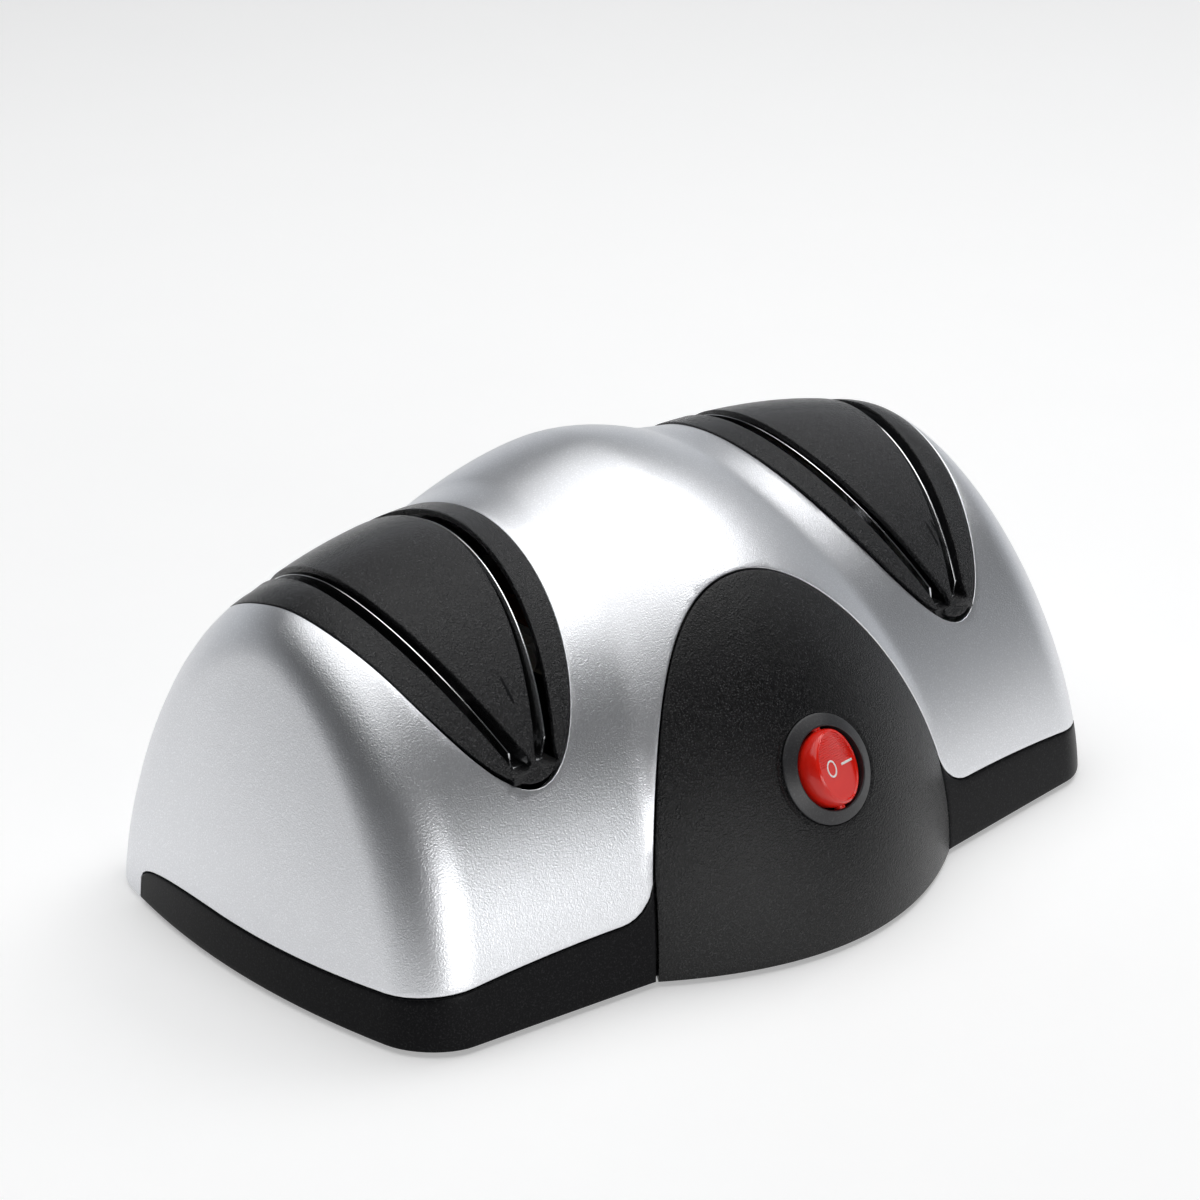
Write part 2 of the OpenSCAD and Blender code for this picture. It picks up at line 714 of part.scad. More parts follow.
// A slab of a knife slot: it leans away from the wheel, grown by extra on both sides
module slot_slab(bottom, top, low, high, extra = 0) {
    across = slot_across + 2 * extra / cos(slot_lean);
    first = slot_gap / 2 - extra / cos(slot_lean);
    at_bottom = first + (bottom - ledge_z) * tan(slot_lean);
    at_top = first + (top - ledge_z) * tan(slot_lean);
    along_y(low, high) polygon([[at_bottom, bottom], [at_bottom + across, bottom],
                                [at_top + across, top], [at_top, top]]);
}

// One insert, drawn for the right wing
module guide_insert() {
    deep = wall + rim_gap + insert_flange_t;
    difference() {
        union() {
            intersection() {
                at_insert() linear_extrude(2 * crown_h) insert_outline(0);
                wing_patch(1, patch_start, patch_stop, 0, deep, true);
            }
            intersection() {
                at_insert() linear_extrude(2 * crown_h) insert_outline(insert_flange);
                wing_patch(1, patch_start, patch_stop, wall + rim_gap, deep);
            }
            intersection() {
                at_insert() both_sides()
                    slot_slab(ledge_z - 2.5, crown_h, slot_front - 1, slot_back + 1, guide_wall);
                wing_patch(1, patch_start, patch_stop, wall / 2, 34, false);
            }
        }
        at_insert() both_sides() {
            slot_slab(ledge_z, crown_h + 10, slot_front, slot_back);
            slot_slab(ledge_z - 10, crown_h, shaft_y - wheel_open, shaft_y + wheel_open);
        }
        on_shaft(wheel_in - 0.8) cylinder(r = wheel_d / 2 + 1.5, h = wheel_t + 1.6);
    }
}

module at_insert() {
    translate([insert_x, 0, 0]) children();
}

module guide_insert_right() {
    color(black) guide_insert();
}

module guide_insert_left() {
    color(black) mirror([1, 0, 0]) guide_insert();
}

// Height of the case over the insert's middle, at place y
leaf_front = slot_front + 2;
leaf_back = slot_back - 2;
function ridge_z(t) = wing_arch(0.5, t, 0)[1] + foot_h;
function ridge_y(t) = wing_arch(0.5, t, 0)[0] + mid_y;

// Side view of a guide spring: flat below and arched under the case above
module leaf_outline() {
    low = ledge_z + 0.4;
    top = [for (i = [0:24])
        let (t = 38 + 104 * i / 24)
        [min(max(ridge_y(t), leaf_front), leaf_back), ridge_z(t) - 2]];
    polygon(concat([[leaf_front, low]], [for (p = top) if (p[1] > low + 0.5) p],
                   [[leaf_back, low]]));
}

// Bowed strip seen along the slot: it springs from the slot's outer wall at both ends
module leaf_strip() {
    mid = (leaf_front + leaf_back) / 2;
    half = (leaf_back - leaf_front) / 2;
    edge = [for (i = [0:12])
        let (u = i / 6 - 1)
        [-0.15 - leaf_bow * (1 - u * u), mid + u * half]];
    polygon(concat(edge, [for (p = backwards(edge)) [p[0] - leaf_t, p[1]]]));
}

module guide_spring() {
    lean = slot_lean;
    translate([insert_x + slot_gap / 2 + slot_across, 0, ledge_z]) rotate([0, lean, 0])
        intersection() {
            translate([0, 0, -5]) linear_extrude(60) leaf_strip();
            translate([-5, 0, 0]) rotate([90, 0, 90]) linear_extrude(10)
                scale_up() translate([0, -ledge_z]) leaf_outline();
        }
}

// A height measured along the leaning slot is longer than the height above the table
module scale_up() {
    multmatrix([[1, 0, 0, 0], [0, 1 / cos(slot_lean), 0, 0], [0, 0, 1, 0], [0, 0, 0, 1]])
        children();
}

module guide_springs() {
    guide_spring();
    translate([2 * insert_x, 0, 0]) mirror([1, 0, 0]) guide_spring();
}

module guide_springs_right() {
    color(steel) guide_springs();
}

module guide_springs_left() {
    color(steel) mirror([1, 0, 0]) guide_springs();
}

// ---- Rotor: shaft, wheels and armature ----

module drive_shaft() {
    color(steel) on_shaft(-shaft_end) {
        cylinder(d = shaft_d, h = 2 * shaft_end);
    }
}

// A wheel's half section, drawn as radius and place along the shaft
module wheel_profile() {
    rim = wheel_d / 2;
    polygon([[wheel_bore / 2, 0], [hub_d / 2 + 1, 0], [hub_d / 2 + 2, 0.8], [rim - 9, 0.8],
             [rim - 8, 0], [rim - 0.8, 0], [rim, 0.8], [rim, wheel_t - 0.8], [rim - 0.8, wheel_t],
             [rim - 8, wheel_t], [rim - 9, wheel_t - 0.8], [hub_d / 2 + 2, wheel_t - 0.8],
             [hub_d / 2 + 1, wheel_t], [wheel_bore / 2, wheel_t]]);
}

module wheel_fine() {
    color(dark_steel) on_shaft(wheel_in) rotate_extrude() wheel_profile();
}

module wheel_coarse() {
    color(steel) mirror([1, 0, 0]) on_shaft(wheel_in) rotate_extrude() wheel_profile();
}

module wheel_hubs() {
    bore = shaft_d / 2 + fit_gap;
    color(brass) both_sides() on_shaft(wheel_in - hub_t) rotate_extrude()
        polygon([[bore, 0], [hub_d / 2 - 0.5, 0], [hub_d / 2, 0.5], [hub_d / 2, hub_t],
                 [wheel_bore / 2 - fit_gap, hub_t], [wheel_bore / 2 - fit_gap, hub_t + wheel_t - 0.2],
                 [bore, hub_t + wheel_t - 0.2]]);
}

module wheel_washers() {
    color(steel) both_sides() on_shaft(wheel_in + wheel_t)
        linear_extrude(washer_t) ring_2d(washer_d / 2, shaft_d / 2 + fit_gap);
}

module wheel_nuts() {
    color(steel) both_sides() on_shaft(wheel_in + wheel_t + washer_t) difference() {
        cylinder(d = nut_af / cos(30), h = nut_t, $fn = 6);
        translate([0, 0, -1]) cylinder(r = shaft_d / 2 + fit_gap, h = nut_t + 2);
    }
}

bush_in = bracket_x - 2;
module shaft_bushes() {
    color(brass) both_sides() on_shaft(bush_in)
        linear_extrude(bush_l) ring_2d(bush_d / 2, shaft_d / 2 + run_gap);
}

thrust_t = 1;
module thrust_washers() {
    color(steel) both_sides() on_shaft(bush_in - thrust_t - 0.3)
        linear_extrude(thrust_t) ring_2d(shaft_d / 2 + 2, shaft_d / 2 + fit_gap);
}

armature_r = armature_d / 2;
slot_r = 2.6;
slot_ring = armature_r - slot_r - 1.2;
module armature_core() {
    color(dark_steel) on_shaft(-stack_l / 2) linear_extrude(stack_l) difference() {
        circle(armature_r);
        circle(shaft_d / 2 + fit_gap);
        for (i = [0:armature_slots - 1]) rotate(360 * i / armature_slots) {
            translate([slot_ring, 0]) circle(slot_r);
            translate([slot_ring, -0.8]) square([armature_r, 1.6]);
        }
    }
}

winding_reach = 6.5;
module armature_windings() {
    color(copper) on_shaft(-stack_l / 2 - winding_reach) {
        for (z = [0, stack_l + winding_reach]) translate([0, 0, z]) rotate_extrude()
            polygon([[5, 0.5], [6, 0], [armature_r - 3, 0], [armature_r - 1.5, 1.5],
                     [armature_r - 1.5, winding_reach - 1.5], [armature_r - 2, winding_reach],
                     [5, winding_reach]]);
        for (i = [0:armature_slots - 1]) rotate(360 * i / armature_slots)
            translate([slot_ring, 0, 1])
                cylinder(r = slot_r - 0.15, h = stack_l + 2 * winding_reach - 2);
    }
}

commutator_in = stack_l / 2 + winding_reach + 0.8;
commutator_l = 6.5;
module commutator() {
    color(copper) on_shaft(commutator_in) linear_extrude(commutator_l) difference() {
        circle(commutator_d / 2);
        circle(shaft_d / 2 + fit_gap);
        for (i = [0:commutator_bars - 1]) rotate(360 * i / commutator_bars)
            translate([commutator_d / 2 - 1, -0.2]) square([2, 0.4]);
    }
}

fan_l = 6;
module cooling_fan() {
    hub = shaft_d / 2 + 3;
    color(black) mirror([1, 0, 0]) on_shaft(commutator_in + 0.4) difference() {
        union() {
            cylinder(r = hub, h = fan_l);
            cylinder(d = fan_d, h = 1.2);
            for (i = [0:fan_blades - 1]) rotate(360 * i / fan_blades)
                translate([hub - 1, -0.6, 0]) cube([fan_d / 2 - hub + 0.6, 1.2, fan_l]);
        }
        translate([0, 0, -1]) cylinder(r = shaft_d / 2 + fit_gap, h = fan_l + 2);
    }
}

// ---- Stator, brackets and brushes ----

stator_r = armature_r + air_gap;
pole_w = 22;
shoe_r = stator_r + 2.6;
module stator_core() {
    window_w = stator_w - 2 * yoke_t;
    window_h = stator_h - 2 * yoke_t;
    color(dark_steel) on_shaft(-stack_l / 2) linear_extrude(stack_l) difference() {
        rounded_rect(stator_w, stator_h, 9);
        difference() {
            rounded_rect(window_w, window_h, 1);
            square([pole_w, window_h + 2], center = true);
            intersection() {
                circle(shoe_r);
                for (z = [-1, 1]) translate([0, z * (10 + shoe_r / 2)])
                    square([2 * shoe_r, shoe_r], center = true);
            }
        }
        circle(stator_r);
        for (x = [-1, 1], z = [-1, 1]) translate([x * bolt_y, z * bolt_z]) circle(1.7);
    }
}

coil_w = stator_w / 2 - yoke_t - pole_w / 2 - 0.8;
coil_h = 5;
coil_top = stator_h / 2 - yoke_t - 0.4;
module field_coils() {
    inner_y = pole_w + 0.8;
    inner_x = stack_l + 0.8;
    color(copper) translate([0, shaft_y, shaft_z]) for (turn = [0, 180]) rotate([turn, 0, 0])
        translate([0, 0, coil_top - coil_h]) linear_extrude(coil_h) difference() {
            rounded_rect(inner_x + 2 * coil_w, inner_y + 2 * coil_w, 5);
            rounded_rect(inner_x, inner_y, 1.5);
        }
}

// Corners of the stator that the bracket bolts pass through
bolt_y = stator_w / 2 - 4.2;
bolt_z = stator_h / 2 - 4.2;
bolt_d = 3;

// An end bracket, drawn for the right side
module end_bracket() {
    spacer = bracket_x - stack_l / 2 - 0.1;
    difference() {
        union() {
            on_shaft(bracket_x) linear_extrude(bracket_t) {
                rounded_rect(bracket_w, stator_h, 3);
                for (z = [-1, 1]) translate([0, z * bolt_z])
                    rounded_rect(2 * bolt_y + 8, 7.5, 3);
            }
            on_shaft(bush_in) cylinder(d = bush_d + 4, h = bush_l);
            for (y = [-1, 1], z = [-1, 1])
                translate([stack_l / 2 + 0.1, shaft_y + y * bolt_y, shaft_z + z * bolt_z])
                    rotate([0, 90, 0]) cylinder(d = 5.6, h = spacer);
            translate([bracket_x, shaft_y - bracket_w / 2, post_top])
                cube([post_x - bracket_x + 5, bracket_w, bracket_t]);
        }
        on_shaft(bush_in - 1) cylinder(r = bush_d / 2 + fit_gap, h = bush_l + 2);
        for (y = [-1, 1], z = [-1, 1])
            translate([0, shaft_y + y * bolt_y, shaft_z + z * bolt_z])
                rotate([0, 90, 0]) cylinder(d = bolt_d + 0.4, h = 60);
        for (y = [-1, 1]) translate([post_x, shaft_y + y * post_y, 0])
            cylinder(d = motor_screw_d + 0.6, h = shaft_z - 15);
    }
}

module bracket_right() {
    color(steel) end_bracket();
}

module bracket_left() {
    color(steel) mirror([1, 0, 0]) end_bracket();
}

module bracket_bolts() {
    far = bracket_x + bracket_t;
    color(steel) for (y = [-1, 1], z = [-1, 1])
        translate([0, shaft_y + y * bolt_y, shaft_z + z * bolt_z]) rotate([0, 90, 0]) {
            cylinder(d = bolt_d, h = 2 * far + 2, center = true);
            translate([0, 0, -far - 2.2]) cylinder(d = 5.5, h = 2.15);
            translate([0, 0, far + 0.05]) cylinder(d = 6.2, h = 2.2, $fn = 6);
        }
}

motor_screw_d = 3;
module motor_screws() {
    under = post_top + bracket_t;
    color(steel) both_sides() for (y = [-1, 1]) translate([post_x, shaft_y + y * post_y, 0]) {
        translate([0, 0, foot_h + 2]) cylinder(d = motor_screw_d - 0.1, h = under - foot_h - 1);
        translate([0, 0, under + 0.05]) cylinder(d = 6, h = 2);
    }
}

brush_w = 5;
brush_t = 4.2;
brush_x = commutator_in + commutator_l / 2;
holder_in = commutator_d / 2 + 1.5;
holder_out = 22;
module at_brushes() {
    for (turn = [0, 180]) translate([brush_x, shaft_y, shaft_z]) rotate([turn, 0, 0]) children();
}

module brush_holders() {
    color(brass) at_brushes() {
        difference() {
            translate([-brush_w / 2 - 1, holder_in, -brush_t / 2 - 1])
                cube([brush_w + 2, holder_out - holder_in, brush_t + 2]);
            translate([-brush_w / 2 - 0.1, holder_in - 1, -brush_t / 2 - 0.1])
                cube([brush_w + 0.2, holder_out - holder_in, brush_t + 0.2]);
        }
        translate([brush_w / 2 + 0.5, holder_in, -brush_t / 2 - 1])
            cube([bracket_x - brush_x - brush_w / 2 - 0.55, 5.5, brush_t + 2]);
    }
}

module carbon_brushes() {
    color([0.15, 0.15, 0.16]) at_brushes()
        translate([-brush_w / 2, commutator_d / 2 + 0.1, -brush_t / 2])
            cube([brush_w, 7, brush_t]);
}

module brush_springs() {
    start = commutator_d / 2 + 7.15;
    color(steel) at_brushes() translate([0, start, 0]) rotate([-90, 0, 0])
        cylinder(d = brush_t - 0.6, h = holder_out - 1.15 - start);
}

housing_top();
base_tray();
front_panel();
guide_insert_left();
guide_insert_right();
guide_springs_left();
guide_springs_right();
wheel_coarse();
wheel_fine();
wheel_hubs();
wheel_washers();
wheel_nuts();
drive_shaft();
shaft_bushes();
thrust_washers();
stator_core();
field_coils();
bracket_left();
bracket_right();
bracket_bolts();
motor_screws();
armature_core();
armature_windings();
commutator();
brush_holders();
carbon_brushes();
brush_springs();
cooling_fan();
switch_body();
switch_rocker();
switch_terminals();
cord_inlet();
rubber_feet();
case_screws();
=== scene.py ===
"""A two-stage electric knife sharpener: silver case, black base, front panel and guide
inserts, a red rocker switch, and the motor with its grinding wheels inside.

Sizes are millimetres here, as on a drawing. A mesh is made in metres, like the frame.
X runs along the motor shaft, Y from front to back, Z up, and the feet stand on Z = 0."""

from math import asin, atan2, copysign, cos, degrees, pi, radians, sin, sqrt, tan

import bmesh
import bpy
import numpy as np
from mathutils import Matrix, Vector


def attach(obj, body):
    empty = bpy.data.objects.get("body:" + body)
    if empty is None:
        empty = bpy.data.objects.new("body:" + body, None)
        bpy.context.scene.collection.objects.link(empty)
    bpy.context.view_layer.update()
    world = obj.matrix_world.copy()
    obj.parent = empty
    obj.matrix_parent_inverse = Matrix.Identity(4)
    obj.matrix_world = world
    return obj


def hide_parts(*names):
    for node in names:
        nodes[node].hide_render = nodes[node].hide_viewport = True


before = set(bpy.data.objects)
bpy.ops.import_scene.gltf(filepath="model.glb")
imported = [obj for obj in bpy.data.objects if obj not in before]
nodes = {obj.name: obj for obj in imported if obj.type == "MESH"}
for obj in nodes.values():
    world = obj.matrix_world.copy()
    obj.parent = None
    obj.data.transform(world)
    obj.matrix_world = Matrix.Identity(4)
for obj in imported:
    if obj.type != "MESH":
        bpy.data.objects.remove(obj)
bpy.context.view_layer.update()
MM = 0.001

# ---- Sizes of the case, as on the part's drawing ----

case_l, wall = 207, 2.5
wing_depth_in, wing_depth_end = 60, 54
ridge_in, ridge_end = 81.6, 76
wing_round_in, wing_round_end = 2, 1.8
ridge_back_in, ridge_back_end = 8, 3
end_bulge, end_lean, end_fillet, end_curve = 7.5, 15.7, 11, 1.3
dome_w_foot, dome_w_top = 42.6, 22.7
crown_h, dome_front, dome_back, dome_round, crown_back = 87.5, 74.5, 69, 1.85, 8.5
crown_curve, ridge_fall = 1.7, 0.8
foot_h, floor_t = 1.2, 2.5
band_in, band_end, band_corner, band_stop, seam = 15.5, 11, 8, 38, 0.3
band_fall_from = 5 / 8  # share of the band's way along the end wall
band_t, band_tail = 3.9, 4
panel_a, panel_h = 43.2, 70.5
insert_x, insert_a, insert_front, insert_rear, insert_y = 58.5, 25.2, 52.4, 40, 8
insert_rise, crown_half, crown_shift = 2.3, 22, 4
slot_w, slot_lean, slot_end = 4.2, 24.5, 3.5
slot_x, slot_root, root_z, floor_z = 59.2, 0.75, 50.5, 48.5
slot_front, slot_corner, slot_slope = -40.4, 1.2, 1.19
insert_t, sleeve_t, wheel_gap = 1.2, 0.6, 1.8
shaft_back, shaft_z, wheel_d = 4, 34, 52
switch_z, switch_hole, switch_depth, switch_bore = 36.9, 20.2, 17, 8.65
bezel_d, bezel_h, bezel_sunk = 23, 1.75, 1
rocker_r, face_r, rocker_face, rocker_tilt, pivot_up = 8.1, 7.4, 3.2, 19, 0.35
inlet_z, inlet_r, inlet_rim, inlet_sunk = 17, 6.1, 2.2, 0.7
case_screw_x, case_screw_y, case_screw_d = 85, 36, 3
boss_d, boss_above_floor, skin_gap = 7.5, 3, 0.25
tower_wall, tower_bore, tower_top = 1.5, 1.8, 6.4
post_x, post_y, post_r, post_bore, post_top = 42, 8, 4, 1.5, 4.5
foot_x, foot_y, foot_hole_r = 68, 42, 3.55
vent_w, vent_l, vent_pitch = 2.5, 26, 6
rib_count, rib_pitch, rib_first = 12, 0.47, 0.95

mid_y = (dome_front - dome_back) / 2
straight = 1 - end_fillet / (case_l / 2 - dome_w_foot)
shaft_y = mid_y + shaft_back
lean = radians(slot_lean)
slot_across = slot_w / cos(lean)
slot_back = mid_y + insert_y + insert_rear - slot_end
corners = [(x, y) for x in (-1, 1) for y in (-1, 1)]
screw_places = [(x * case_screw_x, mid_y + y * case_screw_y) for x, y in corners]
foot_places = [(x * foot_x, mid_y + y * foot_y) for x, y in corners]
well_clear = 50.0  # for a place that is nowhere near an opening


# ---- Shape of the case ----


def mix(a, b, u):
    return a + (b - a) * u


def span(a, b, count):
    """Even steps from a to b, both included."""
    return list(np.linspace(a, b, count))


def arch(t, depth, height, roundness, back):
    """A rounded arch, at t degrees from its front foot: y, and height above the foot."""
    c, s = cos(radians(t)), max(0.0, sin(radians(t)))
    return (
        -depth * copysign(abs(c) ** (2 / roundness), c) + back * s ** (4 / roundness),
        height * s ** (2 / roundness),
    )


def crease_x(z):
    """Half width of the dome where it meets a wing, at height z."""
    return mix(dome_w_foot, dome_w_top, (z / ridge_in) ** 2)


def end_x(y, z):
    """Where an end wall lies, at y from the middle of the wings and height z."""
    bulge = end_bulge * (abs(y) / wing_depth_end) ** 2
    return case_l / 2 - bulge - end_lean * (max(z, 0) / ridge_end) ** end_curve


def wing_arch(v, t, inset):
    return arch(
        t,
        mix(wing_depth_in, wing_depth_end, v) - inset,
        mix(ridge_in, ridge_end, v**ridge_fall) - foot_h - inset,
        mix(wing_round_in, wing_round_end, v),
        mix(ridge_back_in, ridge_back_end, v),
    )


def fillet_inset(v):
    if v <= straight:
        return 0.0
    return end_fillet * (1 - sqrt(max(0, 1 - ((v - straight) / (1 - straight)) ** 2)))


def wing_point(side, v, t, thin=0.0):
    """A point of a wing's skin, from v = 0 at the crease to v = 1 at the end wall."""
    y, h = wing_arch(v, t, thin + fillet_inset(v))
    z = h + foot_h
    return (side * mix(crease_x(z), end_x(y, z) - thin, v), y + mid_y, z)


def end_point(side, q, t, thin=0.0):
    """A point of an end wall, from q = 0 at its rounded edge to q = 1 at its foot."""
    y, h = wing_arch(1, t, thin + end_fillet)
    y, z = (1 - q) * y, (1 - q) * h + foot_h
    return (side * (end_x(y, z) - thin), y + mid_y, z)


def dome_point(v, t, thin=0.0):
    """A point of the dome's skin, where v runs from -1 to 1 between its creases."""
    side = wing_arch(0, t, thin)
    reach = dome_front if t < 90 else dome_back
    crown = arch(t, reach - thin, crown_h - foot_h - thin, dome_round, crown_back)
    z = mix(side[1], crown[1], 1 - abs(v) ** crown_curve) + foot_h
    return (v * crease_x(side[1] + foot_h), mix(side[0], crown[0], 1 - v * v) + mid_y, z)


def case_point(s, t, thin=0.0):
    """The whole skin: s is -1 to 1 on the dome, to 2 on a wing and to 3 on its end wall."""
    side, a = copysign(1, s), abs(s)
    if a <= 1:
        return dome_point(s, t, thin)
    if a <= 2:
        return wing_point(side, along_wing(a - 1), t, thin)
    return end_point(side, a - 2, t, thin)


def along_wing(w):
    """The last fifth of a wing's stations lies on the rounding at its end."""
    if w <= 0.8:
        return straight * w / 0.8
    return mix(straight, 1, sin((w - 0.8) / 0.2 * pi / 2))


# ---- The black band ----


def wall_depth(v, z, inset):
    """Depth of a wing's front wall at height z."""
    h = mix(ridge_in, ridge_end, v**ridge_fall) - foot_h - inset
    n = mix(wing_round_in, wing_round_end, v)
    q = min(1.0, max(0.0, z - foot_h) / h)
    depth = mix(wing_depth_in, wing_depth_end, v) - inset
    return depth * (1 - q**n) ** (1 / n) - mix(ridge_back_in, ridge_back_end, v) * q * q


def band_point(side, station, z, thin=0.0):
    """A station is: place along the wing, turn round the corner, share of the end wall."""
    v, turn, share = station
    v = v if turn == 0 else mix(straight, 1, sin(radians(turn)))
    inset = thin + end_fillet * (1 - cos(radians(turn)))
    corner_y = -wall_depth(v, z, inset)
    y = corner_y if turn < 90 else mix(corner_y, band_stop, share)
    return (side * mix(crease_x(z), end_x(y, z) - thin, v), y + mid_y, z)


def band_top(station):
    """Height of the band's top edge at a station."""
    x = abs(band_point(1, station, foot_h)[0])
    run = (x - dome_w_foot) / (case_l / 2 - dome_w_foot)
    near = max(0, band_corner - (x - dome_w_foot))
    past = min(1.0, max(0, (station[2] - band_fall_from) / (1 - band_fall_from)))
    return (
        mix(band_in, band_end, run * run)
        + band_corner
        - sqrt(max(0, band_corner**2 - near**2))
        - (band_end - foot_h - band_tail) * (1 - sqrt(max(0, 1 - past * past)))
    )


def band_station(k):
    """Station k of the band: 0 to 1 along the wing, to 2 round the corner, to 3 at its end."""
    if k <= 1:
        return (straight * k, 0, 0)
    if k <= 2:
        return (straight, 90 * (k - 1), 0)
    return (straight, 90, k - 2)


def above_band(s, t):
    """How far a point of the skin lies above the band and its seam."""
    a = abs(s)
    if a <= 1 or t >= 90 and a <= 2:
        return well_clear
    _, y, z = case_point(a, t)
    if a <= 2:
        v = along_wing(a - 1)
        turn = degrees(asin(min(1, max(0, (v - straight) / (1 - straight)))))
        return z - band_top((v, 0, 0) if v <= straight else (straight, turn, 0)) - seam
    corner_y = -wall_depth(1, z, end_fillet)
    share = (y - mid_y - corner_y) / (band_stop - corner_y)
    top = band_top((straight, 90, min(1.0, max(0.0, share))))
    return max(z - top - seam, y - mid_y - band_stop - seam)


# ---- Outlines of the openings ----


def outside_egg(x, y, grow):
    """How far a place lies outside an insert's outline, seen from above."""
    dx, dy = (abs(x) - insert_x) / (insert_a + grow), y - mid_y - insert_y
    dy /= (insert_front if dy < 0 else insert_rear) + grow
    return (sqrt(dx * dx + dy * dy) - 1) * (insert_a + grow)


def outside_panel(x, y, z, grow, side):
    """How far a place lies outside the front panel's outline, seen from the front."""
    ellipse = sqrt((x / (panel_a + grow)) ** 2 + (z / (panel_h + grow)) ** 2) - 1
    beside = abs(x) - crease_x(z) - side
    return max(ellipse * panel_a, beside, y - mid_y)


def case_keep(s, t):
    x, y, z = case_point(s, t)
    inlet = sqrt(x * x + (z - inlet_z) ** 2) - inlet_r - inlet_rim
    return min(
        outside_egg(x, y, skin_gap) if abs(s) > 1 and z > 40 else well_clear,
        outside_panel(x, y, z, seam, 0.4 * seam),
        above_band(s, t),
        inlet if y > 40 and abs(s) < 1 else well_clear,
    )


# ---- Making meshes ----


def cut_sheet(place, us, vs, keep):
    """A sheet over place(u, v), cut along the line where keep(u, v) is nought.

    Returns its points and faces. Grid points near the line are moved onto it,
    so that no face along the edge is a sliver."""
    rows = len(vs)
    spots = [(u, v) for u in us for v in vs]
    worth = [keep(u, v) for u, v in spots]

    def between(a, b, m):
        return (mix(spots[a][0], spots[b][0], m), mix(spots[a][1], spots[b][1], m))

    def crossing(a, b):
        low, high = 0.0, 1.0
        for _ in range(12):
            m = (low + high) / 2
            same = (keep(*between(a, b, m)) > 0) == (worth[a] > 0)
            low, high = (m, high) if same else (low, m)
        return (low + high) / 2

    starts = [i * rows + j for i in range(len(us) - 1) for j in range(rows - 1)]
    quads = [(a, a + rows, a + rows + 1, a + 1) for a in starts]
    edges = {(min(p), max(p)) for q in quads for p in sides(q)}
    moves = {}
    for a, b in edges:
        if worth[a] * worth[b] < 0:
            m = crossing(a, b)
            if m < 0.3 and m < moves.get(a, (1,))[0]:
                moves[a] = (m, between(a, b, m))
            if m > 0.7 and 1 - m < moves.get(b, (1,))[0]:
                moves[b] = (1 - m, between(a, b, m))
    for a, (_, spot) in moves.items():
        spots[a], worth[a] = spot, 0.0
    cuts = {}

    def cut(a, b):
        pair = (min(a, b), max(a, b))
        if pair not in cuts:
            cuts[pair] = len(spots)
            spots.append(between(*pair, crossing(*pair)))
        return cuts[pair]

    faces = []
    for q in quads:
        if max(worth[a] for a in q) <= 0:
            continue
        face = []
        for a, b in sides(q):
            if worth[a] >= 0:
                face.append(a)
            if worth[a] * worth[b] < 0:
                face.append(cut(a, b))
        if len(face) > 2:
            faces.append(face)
    used = sorted({a for f in faces for a in f})
    new = {a: i for i, a in enumerate(used)}
    points = np.array([place(*spots[a]) for a in used], float)
    return points, [[new[a] for a in f] for f in faces]


def unit(vectors):
    return vectors / np.maximum(np.linalg.norm(vectors, axis=1), 1e-12)[:, None]


def point_normals(points, faces):
    normals = np.zeros_like(points)
    for f in faces:
        p = points[f]
        n = np.zeros(3)
        for a, b in zip(p, np.roll(p, -1, axis=0)):
            n += np.cross(a, b)
        normals[f] += n
    return unit(normals)


def sides(face):
    """The edges of a face, in its order."""
    return zip(face, face[1:] + face[:1])


def rims_of(faces):
    """The open edges of a sheet, as loops that run with their faces on the left."""
    ways = {way for f in faces for way in sides(f)}
    after = {a: b for a, b in ways if (b, a) not in ways}
    loops = []
    while after:
        start, here = next(iter(after.items()))
        loop = [start]
        del after[start]
        while here != start:
            loop.append(here)
            here = after.pop(here)
        loops.append(loop)
    return loops


def soften(points, faces, near, times):
    """Rounds a crease by moving the points near it to the middle of their neighbours."""
    beside = [set() for _ in points]
    for f in faces:
        for a, b in sides(f):
            beside[a].add(b)
            beside[b].add(a)
    rim = {a for loop in rims_of(faces) for a in loop}
    inner = [i for i in range(len(points)) if i not in rim and near(points[i])]
    for _ in range(times):
        points[inner] = [
            0.5 * points[i] + 0.5 * points[list(beside[i])].mean(axis=0) for i in inner
        ]
    return points


def rim_directions(rim, normals):
    """The way out of a sheet at each point of its rim, along the sheet."""
    along = np.roll(rim, -1, axis=0) - np.roll(rim, 1, axis=0)
    out = unit(np.cross(along, normals))
    for _ in range(2):
        out = unit(out + 0.5 * (np.roll(out, 1, axis=0) + np.roll(out, -1, axis=0)))
    return out


def thicken(points, faces, depth, lip=0.3):
    """Makes a cut sheet a solid of that depth below it, with rounded rims."""
    normals = point_normals(points, faces)
    outer, inner = points.copy(), points - depth * normals
    every = [list(outer), list(inner)]
    count = len(points)
    body = [list(f) for f in faces] + [[a + count for a in reversed(f)] for f in faces]
    extra = []

    def add(ring):
        start = 2 * count + len(extra)
        extra.extend(ring)
        return list(range(start, start + len(ring)))

    for loop in rims_of(faces):
        p, n = points[loop], normals[loop]
        out = rim_directions(p, n)
        drawn = p - lip * out
        for k, a in enumerate(loop):
            every[0][a] = drawn[k]
            every[1][a] = drawn[k] - depth * n[k]
        rings = [loop]
        for turn in (30, 60, 90):
            a = radians(turn)
            rings.append(add(drawn + lip * (sin(a) * out - (1 - cos(a)) * n)))
        rings += [add(p - depth * n), [a + count for a in loop]]
        for upper, lower in zip(rings, rings[1:]):
            for k in range(len(loop)):
                m = (k + 1) % len(loop)
                body.append([upper[m], upper[k], lower[k], lower[m]])
    return np.array(every[0] + every[1] + extra), body


